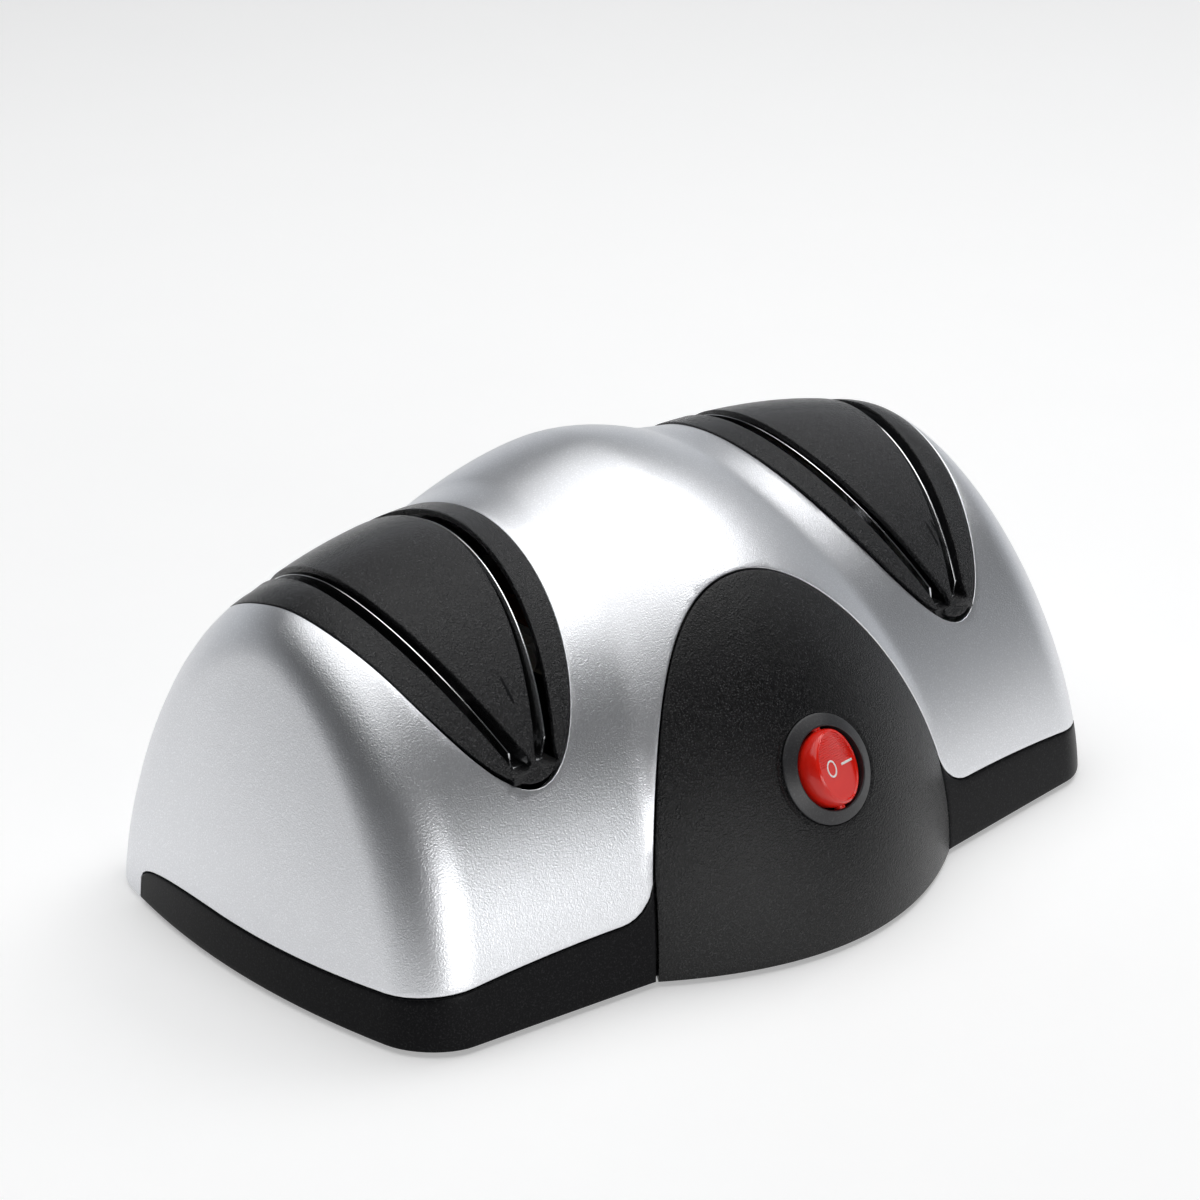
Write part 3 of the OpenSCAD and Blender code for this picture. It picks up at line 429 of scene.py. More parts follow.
def lathe(profile, turns=96):
    """A closed ring or turned solid: profile is a list of radius and height."""
    points, faces = [], []
    solid = profile[0][0] == 0
    inner = profile[1:-1] if solid else profile
    n = len(inner)
    for k in range(turns):
        a = 2 * pi * k / turns
        points += [(r * cos(a), r * sin(a), z) for r, z in inner]
    for k in range(turns):
        m = (k + 1) % turns
        for i in range(n if not solid else n - 1):
            j = (i + 1) % n
            faces.append([k * n + i, m * n + i, m * n + j, k * n + j])
    if solid:
        points += [(0, 0, profile[0][1]), (0, 0, profile[-1][1])]
        low, top = turns * n, turns * n + 1
        for k in range(turns):
            m = (k + 1) % turns
            faces.append([low, m * n, k * n])
            faces.append([top, k * n + n - 1, m * n + n - 1])
    return np.array(points, float), faces


def collar(inner, outer, low, high):
    """The profile of a ring, or of a pin where inner is 0."""
    return [(inner, low), (outer, low), (outer, high), (inner, high)]


def rounded(profile, r, steps=4):
    """The same profile with each corner rounded; the first and last point stay."""
    done = [profile[0]]
    for before, here, after in zip(profile, profile[1:], profile[2:]):
        h, b, f = (np.array(p, float) for p in (here, before, after))
        cut = min(r, 0.45 * np.linalg.norm(b - h), 0.45 * np.linalg.norm(f - h))
        p0 = h + cut * (b - h) / np.linalg.norm(b - h)
        p1 = h + cut * (f - h) / np.linalg.norm(f - h)
        for i in range(steps + 1):
            u = i / steps
            done.append(tuple((1 - u) ** 2 * p0 + 2 * u * (1 - u) * h + u * u * p1))
    return done + [profile[-1]]


def placed(mesh, matrix):
    points, faces = mesh
    m = np.array(matrix)
    return points @ m[:3, :3].T + m[:3, 3], faces


def flipped(mesh):
    """The same mesh with its faces turned over."""
    points, faces = mesh
    return points, [list(reversed(f)) for f in faces]


def mirrored(mesh):
    """The same mesh on the other side of the case, with its faces kept outward."""
    points, faces = flipped(mesh)
    return points * [-1, 1, 1], faces


def skinned(rows, ring=False):
    """A closed mesh over rows that are each a closed outline. In a ring the last row
    meets the first, and otherwise both get a cap."""
    n, count = len(rows[0]), len(rows)
    last = n * (count - 1)
    faces = [] if ring else [list(range(n - 1, -1, -1)), list(range(last, last + n))]
    for i in range(count if ring else count - 1):
        k = (i + 1) % count
        for j in range(n):
            m = (j + 1) % n
            faces.append([i * n + j, i * n + m, k * n + m, k * n + j])
    return np.vstack(rows), faces


def joined(*meshes):
    points, faces, start = [], [], 0
    for p, f in meshes:
        points.append(p)
        faces += [[a + start for a in face] for face in f]
        start += len(p)
    return np.vstack(points), faces


def put(name, data):
    """A Blender object of the data, put in the scene."""
    holder = bpy.data.objects.new(name, data)
    bpy.context.scene.collection.objects.link(holder)
    return holder


def new_object(name, mesh):
    """A Blender object of the mesh, in metres."""
    points, faces = mesh
    data = bpy.data.meshes.new(name)
    data.from_pydata((points * MM).tolist(), [], faces)
    data.validate()
    return put(name, data)


def baked(holder):
    """The mesh that an object comes to, as a bmesh. The object is removed."""
    bpy.context.view_layer.update()
    seen = holder.evaluated_get(bpy.context.evaluated_depsgraph_get())
    data = bpy.data.meshes.new_from_object(seen)
    bm = bmesh.new()
    bm.from_mesh(data)
    bpy.data.objects.remove(holder)
    bpy.data.meshes.remove(data)
    return bm


def taken(bm):
    """Points and faces of a bmesh, which is freed."""
    bm.verts.index_update()
    points = np.array([v.co for v in bm.verts], float)
    faces = [[v.index for v in f.verts] for f in bm.faces]
    bm.free()
    return points, faces


def build_repeater():
    """Copies a shape in a row, shortened across the row as the chords of a circle are."""
    tree = bpy.data.node_groups.new("repeated_shape", "GeometryNodeTree")
    tree.interface.new_socket("Shape", in_out="INPUT", socket_type="NodeSocketGeometry")
    for label, kind in (("Count", "Int"), ("First", "Vector"), ("Step", "Vector"),
                        ("Circle radius", "Float"), ("Material", "Material")):
        tree.interface.new_socket(label, in_out="INPUT", socket_type="NodeSocket" + kind)
    tree.interface.new_socket("Copies", in_out="OUTPUT", socket_type="NodeSocketGeometry")
    start, end = tree.nodes.new("NodeGroupInput"), tree.nodes.new("NodeGroupOutput")
    row = tree.nodes.new("GeometryNodeMeshLine")
    copies = tree.nodes.new("GeometryNodeInstanceOnPoints")
    real = tree.nodes.new("GeometryNodeRealizeInstances")
    painted = tree.nodes.new("GeometryNodeSetMaterial")
    place = tree.nodes.new("ShaderNodeSeparateXYZ")
    chord = tree.nodes.new("ShaderNodeCombineXYZ")
    chord.inputs["Y"].default_value = chord.inputs["Z"].default_value = 1
    link = tree.links.new
    link(start.outputs["Count"], row.inputs["Count"])
    link(start.outputs["First"], row.inputs["Start Location"])
    link(start.outputs["Step"], row.inputs["Offset"])
    link(tree.nodes.new("GeometryNodeInputPosition").outputs[0], place.inputs[0])
    share = math_node(tree, "DIVIDE", place.outputs["Y"], start.outputs["Circle radius"])
    left = math_node(tree, "SUBTRACT", 1.0, math_node(tree, "MULTIPLY", share, share))
    link(math_node(tree, "SQRT", math_node(tree, "MAXIMUM", left, 0.0001)), chord.inputs["X"])
    link(row.outputs[0], copies.inputs["Points"])
    link(start.outputs["Shape"], copies.inputs["Instance"])
    link(chord.outputs[0], copies.inputs["Scale"])
    link(copies.outputs[0], real.inputs[0])
    link(real.outputs[0], painted.inputs["Geometry"])
    link(start.outputs["Material"], painted.inputs["Material"])
    link(painted.outputs[0], end.inputs["Copies"])
    return tree


def repeated(mesh, finish, count, first, step, circle):
    """Copies of a mesh in a row, as one mesh."""
    holder = new_object("shape_to_repeat", mesh)
    maker = holder.modifiers.new("repeat", "NODES")
    maker.node_group = repeater
    values = {"Count": count, "First": [c * MM for c in first], "Step": [c * MM for c in step],
              "Circle radius": circle * MM, "Material": finish.material}
    for item in repeater.interface.items_tree:
        if item.name in values:
            maker[item.identifier] = values[item.name]
    holder.update_tag()
    points, faces = taken(baked(holder))
    return points / MM, faces


def make_piece(name, mesh, finish, body, stands_for=(), sharp=32):
    """Makes the mesh a piece that rides on its body."""
    piece = new_object(name, mesh)
    piece.data.materials.append(finish.material)
    piece.data.shade_smooth()
    piece.data.set_sharp_from_angle(angle=radians(sharp))
    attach(piece, body)
    if stands_for:
        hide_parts(*stands_for)


# ---- Shader groups: effects that several finishes share ----


def new_group(name, dial, value, *results):
    """A group into which go a place and the value of a dial, and out of which go numbers."""
    group = bpy.data.node_groups.new(name, "ShaderNodeTree")
    new_socket = group.interface.new_socket
    new_socket("Vector", in_out="INPUT", socket_type="NodeSocketVector")
    new_socket(dial, in_out="INPUT", socket_type="NodeSocketFloat").default_value = value
    for label in results:
        new_socket(label, in_out="OUTPUT", socket_type="NodeSocketFloat")
    start, end = group.nodes.new("NodeGroupInput"), group.nodes.new("NodeGroupOutput")
    return group, start.outputs["Vector"], start.outputs[dial], end.inputs


def feed(tree, socket, value):
    """Sets a socket to a number, or links it to an output."""
    if isinstance(value, (int, float)):
        socket.default_value = value
    else:
        tree.links.new(value, socket)


def math_node(tree, operation, *values):
    node = tree.nodes.new("ShaderNodeMath")
    node.operation = operation
    for socket, value in zip(node.inputs, values):
        feed(tree, socket, value)
    return node.outputs[0]


def weighed(tree, a, part_a, b, part_b):
    """The sum of a part of one value and a part of another."""
    a = math_node(tree, "MULTIPLY", a, part_a)
    return math_node(tree, "ADD", a, math_node(tree, "MULTIPLY", b, part_b))


def noise(tree, vector, scale, detail=2.0, rough=0.5):
    node = tree.nodes.new("ShaderNodeTexNoise")
    for label, value in (("Vector", vector), ("Scale", scale), ("Detail", detail),
                         ("Roughness", rough)):
        feed(tree, node.inputs[label], value)
    return node.outputs["Fac"]


def stretch(tree, value, low, high, to=(0, 1), kind="LINEAR"):
    """Spreads the part of a value between low and high over the range given by to."""
    node = tree.nodes.new("ShaderNodeMapRange")
    node.interpolation_type = kind
    for socket, number in zip(("From Min", "From Max", "To Min", "To Max"), (low, high, *to)):
        node.inputs[socket].default_value = number
    tree.links.new(value, node.inputs["Value"])
    return node.outputs["Result"]


def distance_along(tree, vector, direction):
    node = tree.nodes.new("ShaderNodeVectorMath")
    node.operation = "DOT_PRODUCT"
    node.inputs[1].default_value = direction
    tree.links.new(vector, node.inputs[0])
    return node.outputs["Value"]


def build_grain():
    """Fine spark-eroded grain of a mould or the flakes in a paint."""
    group, place, per_metre, end = new_group(
        "mould_grain", "Grain per metre", 1500.0, "Height", "Speck"
    )
    fine = noise(group, place, per_metre, 2.5, 0.6)
    coarse = noise(group, place, math_node(group, "MULTIPLY", per_metre, 0.37), 1.0)
    group.links.new(weighed(group, fine, 0.9, coarse, 0.1), end["Height"])
    group.links.new(stretch(group, fine, 0.52, 0.72), end["Speck"])
    return group


def build_handling():
    """Soft unevenness from handling and moulding: changes gloss over centimetres."""
    group, place, amount, end = new_group("handling", "Amount", 0.05, "Gloss change", "Cloud")
    both = weighed(
        group, noise(group, place, 28.0, 3.0, 0.55), 0.65, noise(group, place, 140.0), 0.35
    )
    change = math_node(group, "MULTIPLY", math_node(group, "SUBTRACT", both, 0.5), amount)
    group.links.new(change, end["Gloss change"])
    group.links.new(both, end["Cloud"])
    return group


def build_machining():
    """Turned or ground metal: fine lines round the motor shaft's direction."""
    group, place, per_metre, end = new_group(
        "machining", "Lines per metre", 3000.0, "Height", "Tone"
    )
    split = group.nodes.new("ShaderNodeSeparateXYZ")
    group.links.new(place, split.inputs[0])
    line = group.nodes.new("ShaderNodeCombineXYZ")
    group.links.new(split.outputs["X"], line.inputs["X"])
    lines = noise(group, line.outputs[0], per_metre, 2.0, 0.6)
    group.links.new(lines, end["Height"])
    group.links.new(weighed(group, lines, 0.5, noise(group, place, 90.0), 0.5), end["Tone"])
    return group


repeater = build_repeater()
grain_group = build_grain()
handling_group = build_handling()
machining_group = build_machining()


# ---- Finishes ----


class Finish:
    """A material with its shader, and helpers that wire patterns into it."""

    def __init__(self, name, colour, roughness, metallic=0.0):
        self.material = bpy.data.materials.new(name)
        self.material.use_nodes = True
        self.tree = self.material.node_tree
        self.shader = self.tree.nodes["Principled BSDF"]
        self.set(Base_Color=(*colour, 1), Roughness=roughness, Metallic=metallic)
        self.place = self.tree.nodes.new("ShaderNodeTexCoord").outputs["Object"]
        self.roughness = roughness

    def set(self, node=None, **values):
        """Sets inputs of the shader or of another node. In their names _ is a space."""
        for label, value in values.items():
            inputs = (node or self.shader).inputs
            inputs[label.replace("_", " ")].default_value = value

    def group(self, tree, **values):
        node = self.tree.nodes.new("ShaderNodeGroup")
        node.node_tree = tree
        self.tree.links.new(self.place, node.inputs["Vector"])
        self.set(node, **values)
        return node.outputs

    def bump(self, height, depth):
        node = self.tree.nodes.new("ShaderNodeBump")
        self.set(node, Distance=depth * MM)
        self.tree.links.new(height, node.inputs["Height"])
        self.tree.links.new(node.outputs[0], self.shader.inputs["Normal"])

    def tones(self, mask, dark, light):
        """Colour between two tones by a mask."""
        node = self.tree.nodes.new("ShaderNodeMix")
        node.data_type = "RGBA"
        self.set(node, A=(*dark, 1), B=(*light, 1))
        self.tree.links.new(mask, node.inputs["Factor"])
        self.tree.links.new(node.outputs["Result"], self.shader.inputs["Base Color"])

    def rough(self, change):
        value = math_node(self.tree, "ADD", change, self.roughness)
        self.tree.links.new(value, self.shader.inputs["Roughness"])


def grained(name, colour, roughness, metallic, per_metre, depth, speck, wear=0.08, shine=0.5):
    """Painted or moulded surface with a fine grain and lighter specks."""
    finish = Finish(name, colour, roughness, metallic)
    grain = finish.group(grain_group, Grain_per_metre=per_metre)
    handling = finish.group(handling_group, Amount=wear)
    light = tuple(min(1, c * (1 + speck) + 0.04 * speck) for c in colour)
    dark = tuple(c * (1 - 0.35 * speck) for c in colour)
    finish.tones(grain["Speck"], dark, light)
    finish.rough(handling["Gloss change"])
    finish.bump(grain["Height"], depth)
    finish.set(Specular_IOR_Level=shine)
    return finish


def turned_metal(name, dark, light, roughness, per_metre=3000.0, depth=0.01):
    finish = Finish(name, light, roughness, 1.0)
    lines = finish.group(machining_group, Lines_per_metre=per_metre)
    handling = finish.group(handling_group, Amount=0.15)
    finish.tones(lines["Tone"], dark, light)
    finish.rough(handling["Gloss change"])
    finish.bump(lines["Height"], depth)
    return finish


silver_paint = grained("silver_paint", (0.8, 0.81, 0.835), 0.33, 0.95, 3000, 0.075, 0.16)
base_black = grained("base_black", (0.003, 0.003, 0.004), 0.36, 0.0, 2600, 0.02, 0.4, 0.08, 0.1)
panel_black = grained("panel_black", (0.002, 0.002, 0.0025), 0.27, 0.0, 2600, 0.2, 0.7, 0.06, 0.3)
slot_black = grained("slot_black", (0.008, 0.008, 0.009), 0.16, 0.0, 900, 0.004, 0.2)
insert_black = grained(
    "insert_black", (0.002, 0.002, 0.003), 0.24, 0.0, 2400, 0.34, 0.7, 0.06, 0.36
)
switch_black = grained("switch_moulding", (0.02, 0.02, 0.022), 0.4, 0.0, 2600, 0.03, 0.4)
fan_nylon = grained("fan_nylon", (0.03, 0.03, 0.03), 0.5, 0.0, 1200, 0.03, 0.3)
foot_rubber = grained("foot_rubber", (0.018, 0.018, 0.018), 0.75, 0.0, 1500, 0.06, 0.3)
brush_carbon = grained("brush_carbon", (0.03, 0.03, 0.033), 0.55, 0.2, 2500, 0.03, 0.4)
sprung_strip = turned_metal("sprung_strip", (0.62, 0.63, 0.65), (0.78, 0.79, 0.8), 0.2)
ground_shaft = turned_metal("ground_shaft", (0.5, 0.51, 0.53), (0.68, 0.69, 0.7), 0.22)
zinc_plate = turned_metal("zinc_plate", (0.5, 0.51, 0.5), (0.68, 0.68, 0.66), 0.34)
stacked_sheets = turned_metal(
    "stacked_sheets", (0.12, 0.12, 0.125), (0.3, 0.3, 0.31), 0.45, 2000, 0.08
)
hub_brass = turned_metal("hub_brass", (0.55, 0.38, 0.14), (0.72, 0.53, 0.22), 0.28)
bush_bronze = turned_metal("bush_bronze", (0.4, 0.24, 0.1), (0.55, 0.34, 0.16), 0.4)
winding_copper = turned_metal(
    "winding_copper", (0.38, 0.13, 0.05), (0.62, 0.26, 0.1), 0.32, 2200, 0.15
)
bar_copper = turned_metal("bar_copper", (0.6, 0.28, 0.14), (0.75, 0.4, 0.22), 0.25)


def grit(name, dark, light, per_metre, depth):
    """Bonded abrasive: packed crystals with bright corners."""
    finish = Finish(name, light, 0.7)
    crystals = finish.tree.nodes.new("ShaderNodeTexVoronoi")
    finish.set(crystals, Scale=per_metre)
    finish.tree.links.new(finish.place, crystals.inputs["Vector"])
    finish.tones(stretch(finish.tree, crystals.outputs["Distance"], 0.1, 0.7), dark, light)
    finish.bump(crystals.outputs["Distance"], depth)
    finish.rough(finish.group(handling_group, Amount=0.2)["Gloss change"])
    return finish


coarse_wheel = grit("coarse_wheel", (0.16, 0.15, 0.14), (0.42, 0.41, 0.4), 900, 0.25)
fine_wheel = grit("fine_wheel", (0.5, 0.46, 0.42), (0.74, 0.7, 0.66), 1800, 0.12)

rocker_red = Finish("rocker_red", (0.75, 0.012, 0.008), 0.16)
rocker_red.set(Transmission_Weight=0.15, Subsurface_Weight=0.3)
rocker_red.set(Subsurface_Radius=(0.004, 0.0006, 0.0004))
rocker_cloud = rocker_red.group(handling_group, Amount=0.08)
rocker_red.tones(rocker_cloud["Cloud"], (0.85, 0.012, 0.006), (1.0, 0.03, 0.015))
rocker_red.rough(rocker_cloud["Gloss change"])

mark_white = Finish("mark_white", (0.85, 0.85, 0.83), 0.4)
mark_cloud = mark_white.group(handling_group, Amount=0.1)
mark_white.tones(mark_cloud["Cloud"], (0.8, 0.8, 0.78), (0.9, 0.9, 0.88))

# ---- The silver case ----


def dome_arc(z):
    """Where on its arc the middle of the dome's front is z high."""
    return degrees(asin(((z - foot_h) / (crown_h - foot_h)) ** (dome_round / 2)))


def case_stations():
    side = span(1, 1.8, 27)[1:] + span(1.8, 2, 9)[1:] + span(2, 2.985, 27)[1:]
    return [-s for s in reversed(side)] + span(-1, 1, 65) + side


def near_crease(point):
    return abs(abs(point[0]) - crease_x(point[2])) < 1.6


def skin_height(x, y, thin):
    """Height of a wing's skin over a place of the floor."""
    v = 0.5
    for _ in range(8):
        low, high = 0.0, 180.0
        for _ in range(24):
            t = (low + high) / 2
            py, h = wing_arch(v, t, thin + fillet_inset(v))
            low, high = (t, high) if py + mid_y < y else (low, t)
        z = h + foot_h
        v = (abs(x) - crease_x(z)) / (end_x(y - mid_y, z) - thin - crease_x(z))
        v = min(1.0, max(0.0, v))
    return z


def screw_boss(x, y):
    """A hollow post that hangs from the case's roof and takes a case screw."""
    low, high, bore = foot_h + floor_t + boss_above_floor, crown_h, (case_screw_d - 0.4) / 2
    profile = [(bore, high), (bore, low), (boss_d / 2, low), (boss_d / 2, high)]
    boss = flipped(lathe(rounded(profile, 0.3, 3), 40))
    points, faces = placed(boss, Matrix.Translation((x, y, 0)))
    for p in points:
        if p[2] > high - 1:
            p[2] = skin_height(p[0], p[1], wall / 2)
    return points, faces


inlet_seat = dome_point(0, 180 - dome_arc(inlet_z))[1] - inlet_sunk
inlet_place = Matrix.Translation((0, inlet_seat, inlet_z)) @ Matrix.Rotation(-pi / 2, 4, "X")
inlet_ring = placed(lathe(collar(inlet_r + 0.05, inlet_r + 3, -2, 0)), inlet_place)
bosses = [screw_boss(x, y) for x, y in screw_places]
case_points, case_faces = cut_sheet(case_point, case_stations(), span(0, 180, 121), case_keep)
case_points = soften(case_points, case_faces, near_crease, 3)
case_mesh = joined(thicken(case_points, case_faces, wall, 0.22), inlet_ring, *bosses)
make_piece("case_top", case_mesh, silver_paint, "case", ["housing_top"])

# ---- The front panel ----

switch_arc = dome_arc(switch_z)
switch_y = dome_point(0, switch_arc)[1]
above, below = dome_point(0, switch_arc + 3), dome_point(0, switch_arc - 3)
switch_tilt = atan2(above[1] - below[1], above[2] - below[2])
switch_seat = Matrix.Translation((0, switch_y, switch_z))
switch_seat @= Matrix.Rotation(pi / 2 - switch_tilt, 4, "X")
switch_seat @= Matrix.Translation((0, 0, -bezel_sunk))
seat_inverse = np.array(switch_seat.inverted())


def panel_keep(v, t, grow=0.0):
    x, y, z = dome_point(v, t)
    p = seat_inverse @ (x, y, z, 1)
    beside_bezel = sqrt(p[0] ** 2 + p[1] ** 2) - bezel_d / 2 - 0.12
    return min(-outside_panel(x, y, z, grow, grow - seam), beside_bezel)


panel_sheet = cut_sheet(dome_point, span(-1, 1, 73), span(0, 75, 61), panel_keep)
rear_sheet = cut_sheet(
    lambda v, t: dome_point(v, t, wall + 0.5),
    span(-1, 1, 49),
    span(2, 78, 41),
    lambda v, t: panel_keep(v, t, 3.0),
)
seat_ring = placed(lathe(collar(switch_hole / 2, bezel_d / 2 + 1.2, -1.6, 0)), switch_seat)
panel_mesh = joined(thicken(*panel_sheet, wall, 0.18), thicken(*rear_sheet, 1.6, 0.2), seat_ring)
make_piece("front_shield", panel_mesh, panel_black, "case", ["front_panel"])

# ---- The base: band, floor, bosses and posts ----


def band_sheet():
    falls = 2 + band_fall_from
    ks = span(0, 0.16, 7) + span(0.16, 1, 22)[1:] + span(1, 2, 12)[1:] + span(2, falls, 12)[1:]
    ks += [mix(falls, 3, sin(a)) for a in span(0, pi / 2, 12)[1:]]

    def place(k, h):
        station = band_station(k)
        return band_point(1, station, mix(foot_h, band_top(station), h))

    return cut_sheet(place, ks, span(0, 1, 9), lambda k, h: 1.0)


def foot_line(inset):
    """Outline of the case's foot, drawn in by inset."""
    front = [case_point(s, 0, inset)[:2] for s in span(-2, 2, 161)]
    back = [case_point(s, 180, inset)[:2] for s in span(2, -2, 161)]
    return front + back


def slot_line(x, y, width, length, steps=17):
    """Outline of a slot along Y. One as long as it is wide is a round hole."""
    r, up = width / 2, (length - width) / 2
    half = [(r * cos(a), up + r * sin(a)) for a in span(0, pi, steps)]
    outline = half + [(-dx, -dy) for dx, dy in (half if up else half[1:])]
    return [(x + dx, y + dy) for dx, dy in (outline if up else outline[:-1])]


def plate(name, lines, low, high, edge):
    """A flat plate between two heights: the first line is its outline, the rest are holes."""
    curve = bpy.data.curves.new(name, "CURVE")
    curve.dimensions, curve.fill_mode = "2D", "BOTH"
    for line in lines:
        spline = curve.splines.new("POLY")
        spline.points.add(len(line) - 1)
        spline.points.foreach_set("co", [c for x, y in line for c in (x, y, 0, 1)])
        spline.use_cyclic_u = True
    curve.extrude, curve.bevel_depth = (high - low) / 2 - edge, edge
    curve.bevel_resolution, curve.offset = 2, -edge
    bm = baked(put(name, curve))
    bmesh.ops.remove_doubles(bm, verts=bm.verts, dist=0.001)
    points, faces = taken(bm)
    bpy.data.curves.remove(curve)
    return points + [0, 0, (low + high) / 2], faces


screw_hole = case_screw_d + 0.6
holes = [slot_line(x, y, screw_hole, screw_hole) for x, y in screw_places]
holes += [slot_line(x, y, 2 * foot_hole_r, 2 * foot_hole_r) for x, y in foot_places]
holes += [slot_line(vent_pitch * i, mid_y, vent_w, vent_l, 8) for i in range(-3, 4)]
tray_floor = plate("tray_floor", [foot_line(wall + seam)] + holes, foot_h, foot_h + floor_t, 0.25)


def tube(x, y, outer, inner, low, high):
    return placed(lathe(collar(inner, outer, low, high), 40), Matrix.Translation((x, y, 0)))


root, tower_r = foot_h + 0.5, boss_d / 2 + tower_wall
towers = [tube(x, y, tower_r, tower_bore, root, tower_top) for x, y in screw_places]
posts = [tube(x * post_x, shaft_y + y * post_y, post_r, post_bore, root, post_top)
         for x, y in corners]
right_band = thicken(*band_sheet(), band_t, 0.4)
base_mesh = joined(right_band, mirrored(right_band), tray_floor, *towers, *posts)
make_piece("base", base_mesh, base_black, "case", ["base_tray"])

# ---- Guide inserts ----


def crown_rise(x, t):
    reach = (insert_x - abs(x) - crown_shift) / crown_half
    return insert_rise * max(0.0, sin(radians(t))) ** 3 * max(0.0, 1 - reach * reach)


def insert_point(v, t):
    x = wing_point(1, v, t)[0]
    return wing_point(1, v, t, -crown_rise(x, t))


def slot_root_x(z):
    """How far a slot's nearer wall is from the middle of the insert, at height z."""
    return slot_root + max(0.0, z - root_z) * tan(lean)


def across_slot(side, share, z):
    """The x of a place in a slot, at a share of the way across it and at height z."""
    return slot_x + side * (slot_root_x(z) + share * slot_across)


def outside_slot(x, y, z, side):
    """How far a place of the insert's skin lies outside a knife slot."""
    across = abs(side * (x - slot_x) - slot_root_x(z) - slot_across / 2) - slot_across / 2
    before = slot_slope * (floor_z - z) if y < shaft_y else -well_clear
    dx, dy = across + slot_corner, y - slot_back + slot_corner
    behind = min(max(dx, dy), 0) + sqrt(max(dx, 0) ** 2 + max(dy, 0) ** 2) - slot_corner
    return max(across, before, behind)


def insert_keep(v, t):
    x, y, z = insert_point(v, t)
    return min(-outside_egg(x, y, 0), outside_slot(x, y, z, 1), outside_slot(x, y, z, -1))


def bottom_of_wall(y, near):
    """A slot's nearer wall ends above the wheel, and the further one at the slot's floor."""
    dy = abs(y - shaft_y)
    reach = wheel_d / 2 + wheel_gap
    over_wheel = shaft_z + sqrt(reach * reach - dy * dy) if dy < reach else 0
    return max(floor_z - 1.2, over_wheel if near else 0)


def slot_sleeve(rim, out, normals):
    """The walls of one slot, hanging from its rim and leaning as it does."""
    side = 1 if rim[:, 0].mean() > slot_x else -1
    level = unit(out * [1, 1, 0])
    rings = [rim - 0.45 * normals]
    for share in (0.35, 0.7, 1.0):
        ring = rim.copy()
        for k, (x, y, z) in enumerate(rim):
            near = side * (x - slot_x) - slot_root_x(z) < slot_across / 2
            ring[k, 2] = mix(z, min(bottom_of_wall(y, near), z - 0.8), share)
            ring[k, 0] += side * (slot_root_x(ring[k, 2]) - slot_root_x(z))
        rings.append(ring)
    rings += [rings[3] - sleeve_t * level, rings[0] - sleeve_t * level]
    return flipped(skinned(rings, ring=True))


def insert_station(x, t):
    """Where along the wing the insert's skin crosses x, on the arc at t."""
    low, high = 0.0, 1.0
    for _ in range(22):
        v = (low + high) / 2
        low, high = (v, high) if insert_point(v, t)[0] < x else (low, v)
    return v


def on_slot(side, share, t):
    """A place on the insert's skin, at a share of the way across a slot."""
    here = (0, 0, 60.0)
    for _ in range(9):
        here = insert_point(insert_station(across_slot(side, share, here[2]), t), t)
    return here


def block(x0, x1, y0, y1, z0, z1, edge):
    """A small block with rounded edges."""
    bm = bmesh.new()
    bmesh.ops.create_cube(bm, size=1)
    bmesh.ops.scale(bm, vec=(x1 - x0, y1 - y0, z1 - z0), verts=bm.verts)
    bmesh.ops.translate(bm, vec=((x0 + x1) / 2, (y0 + y1) / 2, (z0 + z1) / 2), verts=bm.verts)
    bmesh.ops.bevel(bm, geom=bm.edges[:], offset=edge, segments=2, profile=0.5, affect="EDGES")
    return taken(bm)


def slot_floors():
    """The floors of the slots, before and behind the wheel."""
    opening = wheel_d / 2 - 3
    blocks = []
    for side in (-1, 1):
        edges = sorted((slot_x + side * 0.35, across_slot(side, 1, floor_z) + side * 0.5))
        for y0, y1 in ((slot_front, shaft_y - opening), (shaft_y + opening, slot_back + 0.6)):
            blocks.append(block(*edges, y0, y1, floor_z - 2.2, floor_z - 0.25, 0.2))
    return blocks


insert_sheet = cut_sheet(insert_point, span(0.02, 0.99, 78), span(24, 156, 133), insert_keep)
insert_skin = thicken(*insert_sheet, insert_t, 0.28)
sleeves = []
for loop in rims_of(insert_sheet[1]):
    rim = insert_sheet[0][loop]
    if np.ptp(rim[:, 0]) < 30:
        facing = point_normals(*insert_sheet)[loop]
        sleeves.append(slot_sleeve(rim, rim_directions(rim, facing), facing))
insert_mesh = joined(insert_skin, *slot_floors())
for side, name in ((-1, "left"), (1, "right")):
    turned = (lambda mesh: mesh) if side > 0 else mirrored
    make_piece(f"knife_guide_{name}", turned(insert_mesh), insert_black, "case",
               [f"guide_insert_{name}"])
    make_piece(f"slot_walls_{name}", turned(joined(*sleeves)), slot_black, "case",
               ())


def guide_spring(side):
    """A thin leaf that stands in a slot and presses the blade against the wheel."""
    steps, rows = 46, []
    for k in range(steps + 1):
        share = mix(0.62, 0.36, sin(pi * k / steps))
        top = on_slot(side, share, mix(42.5, 136, k / steps))
        rings = []
        for depth, half in ((7.5, 0.18), (0.95, 0.18), (0.83, 0.12), (0.8, 0)):
            z = max(top[2] - depth, floor_z - 0.1)
            rings.append((across_slot(side, share, z), top[1], z, half))
        outline = [(x - h, y, z) for x, y, z, h in rings]
        outline += [(x + h, y, z) for x, y, z, h in reversed(rings[:-1])]
        rows.append(outline)
    foot = on_slot(side, 0.5, 40.5)
    edges = sorted((across_slot(side, 0, floor_z) + side * 0.35, across_slot(side, 0.62, floor_z)))
    tab = block(*edges, foot[1] + 0.9, foot[1] + 4.6, floor_z - 0.3, floor_z + 0.15, 0.1)
    return joined(skinned(rows), tab)


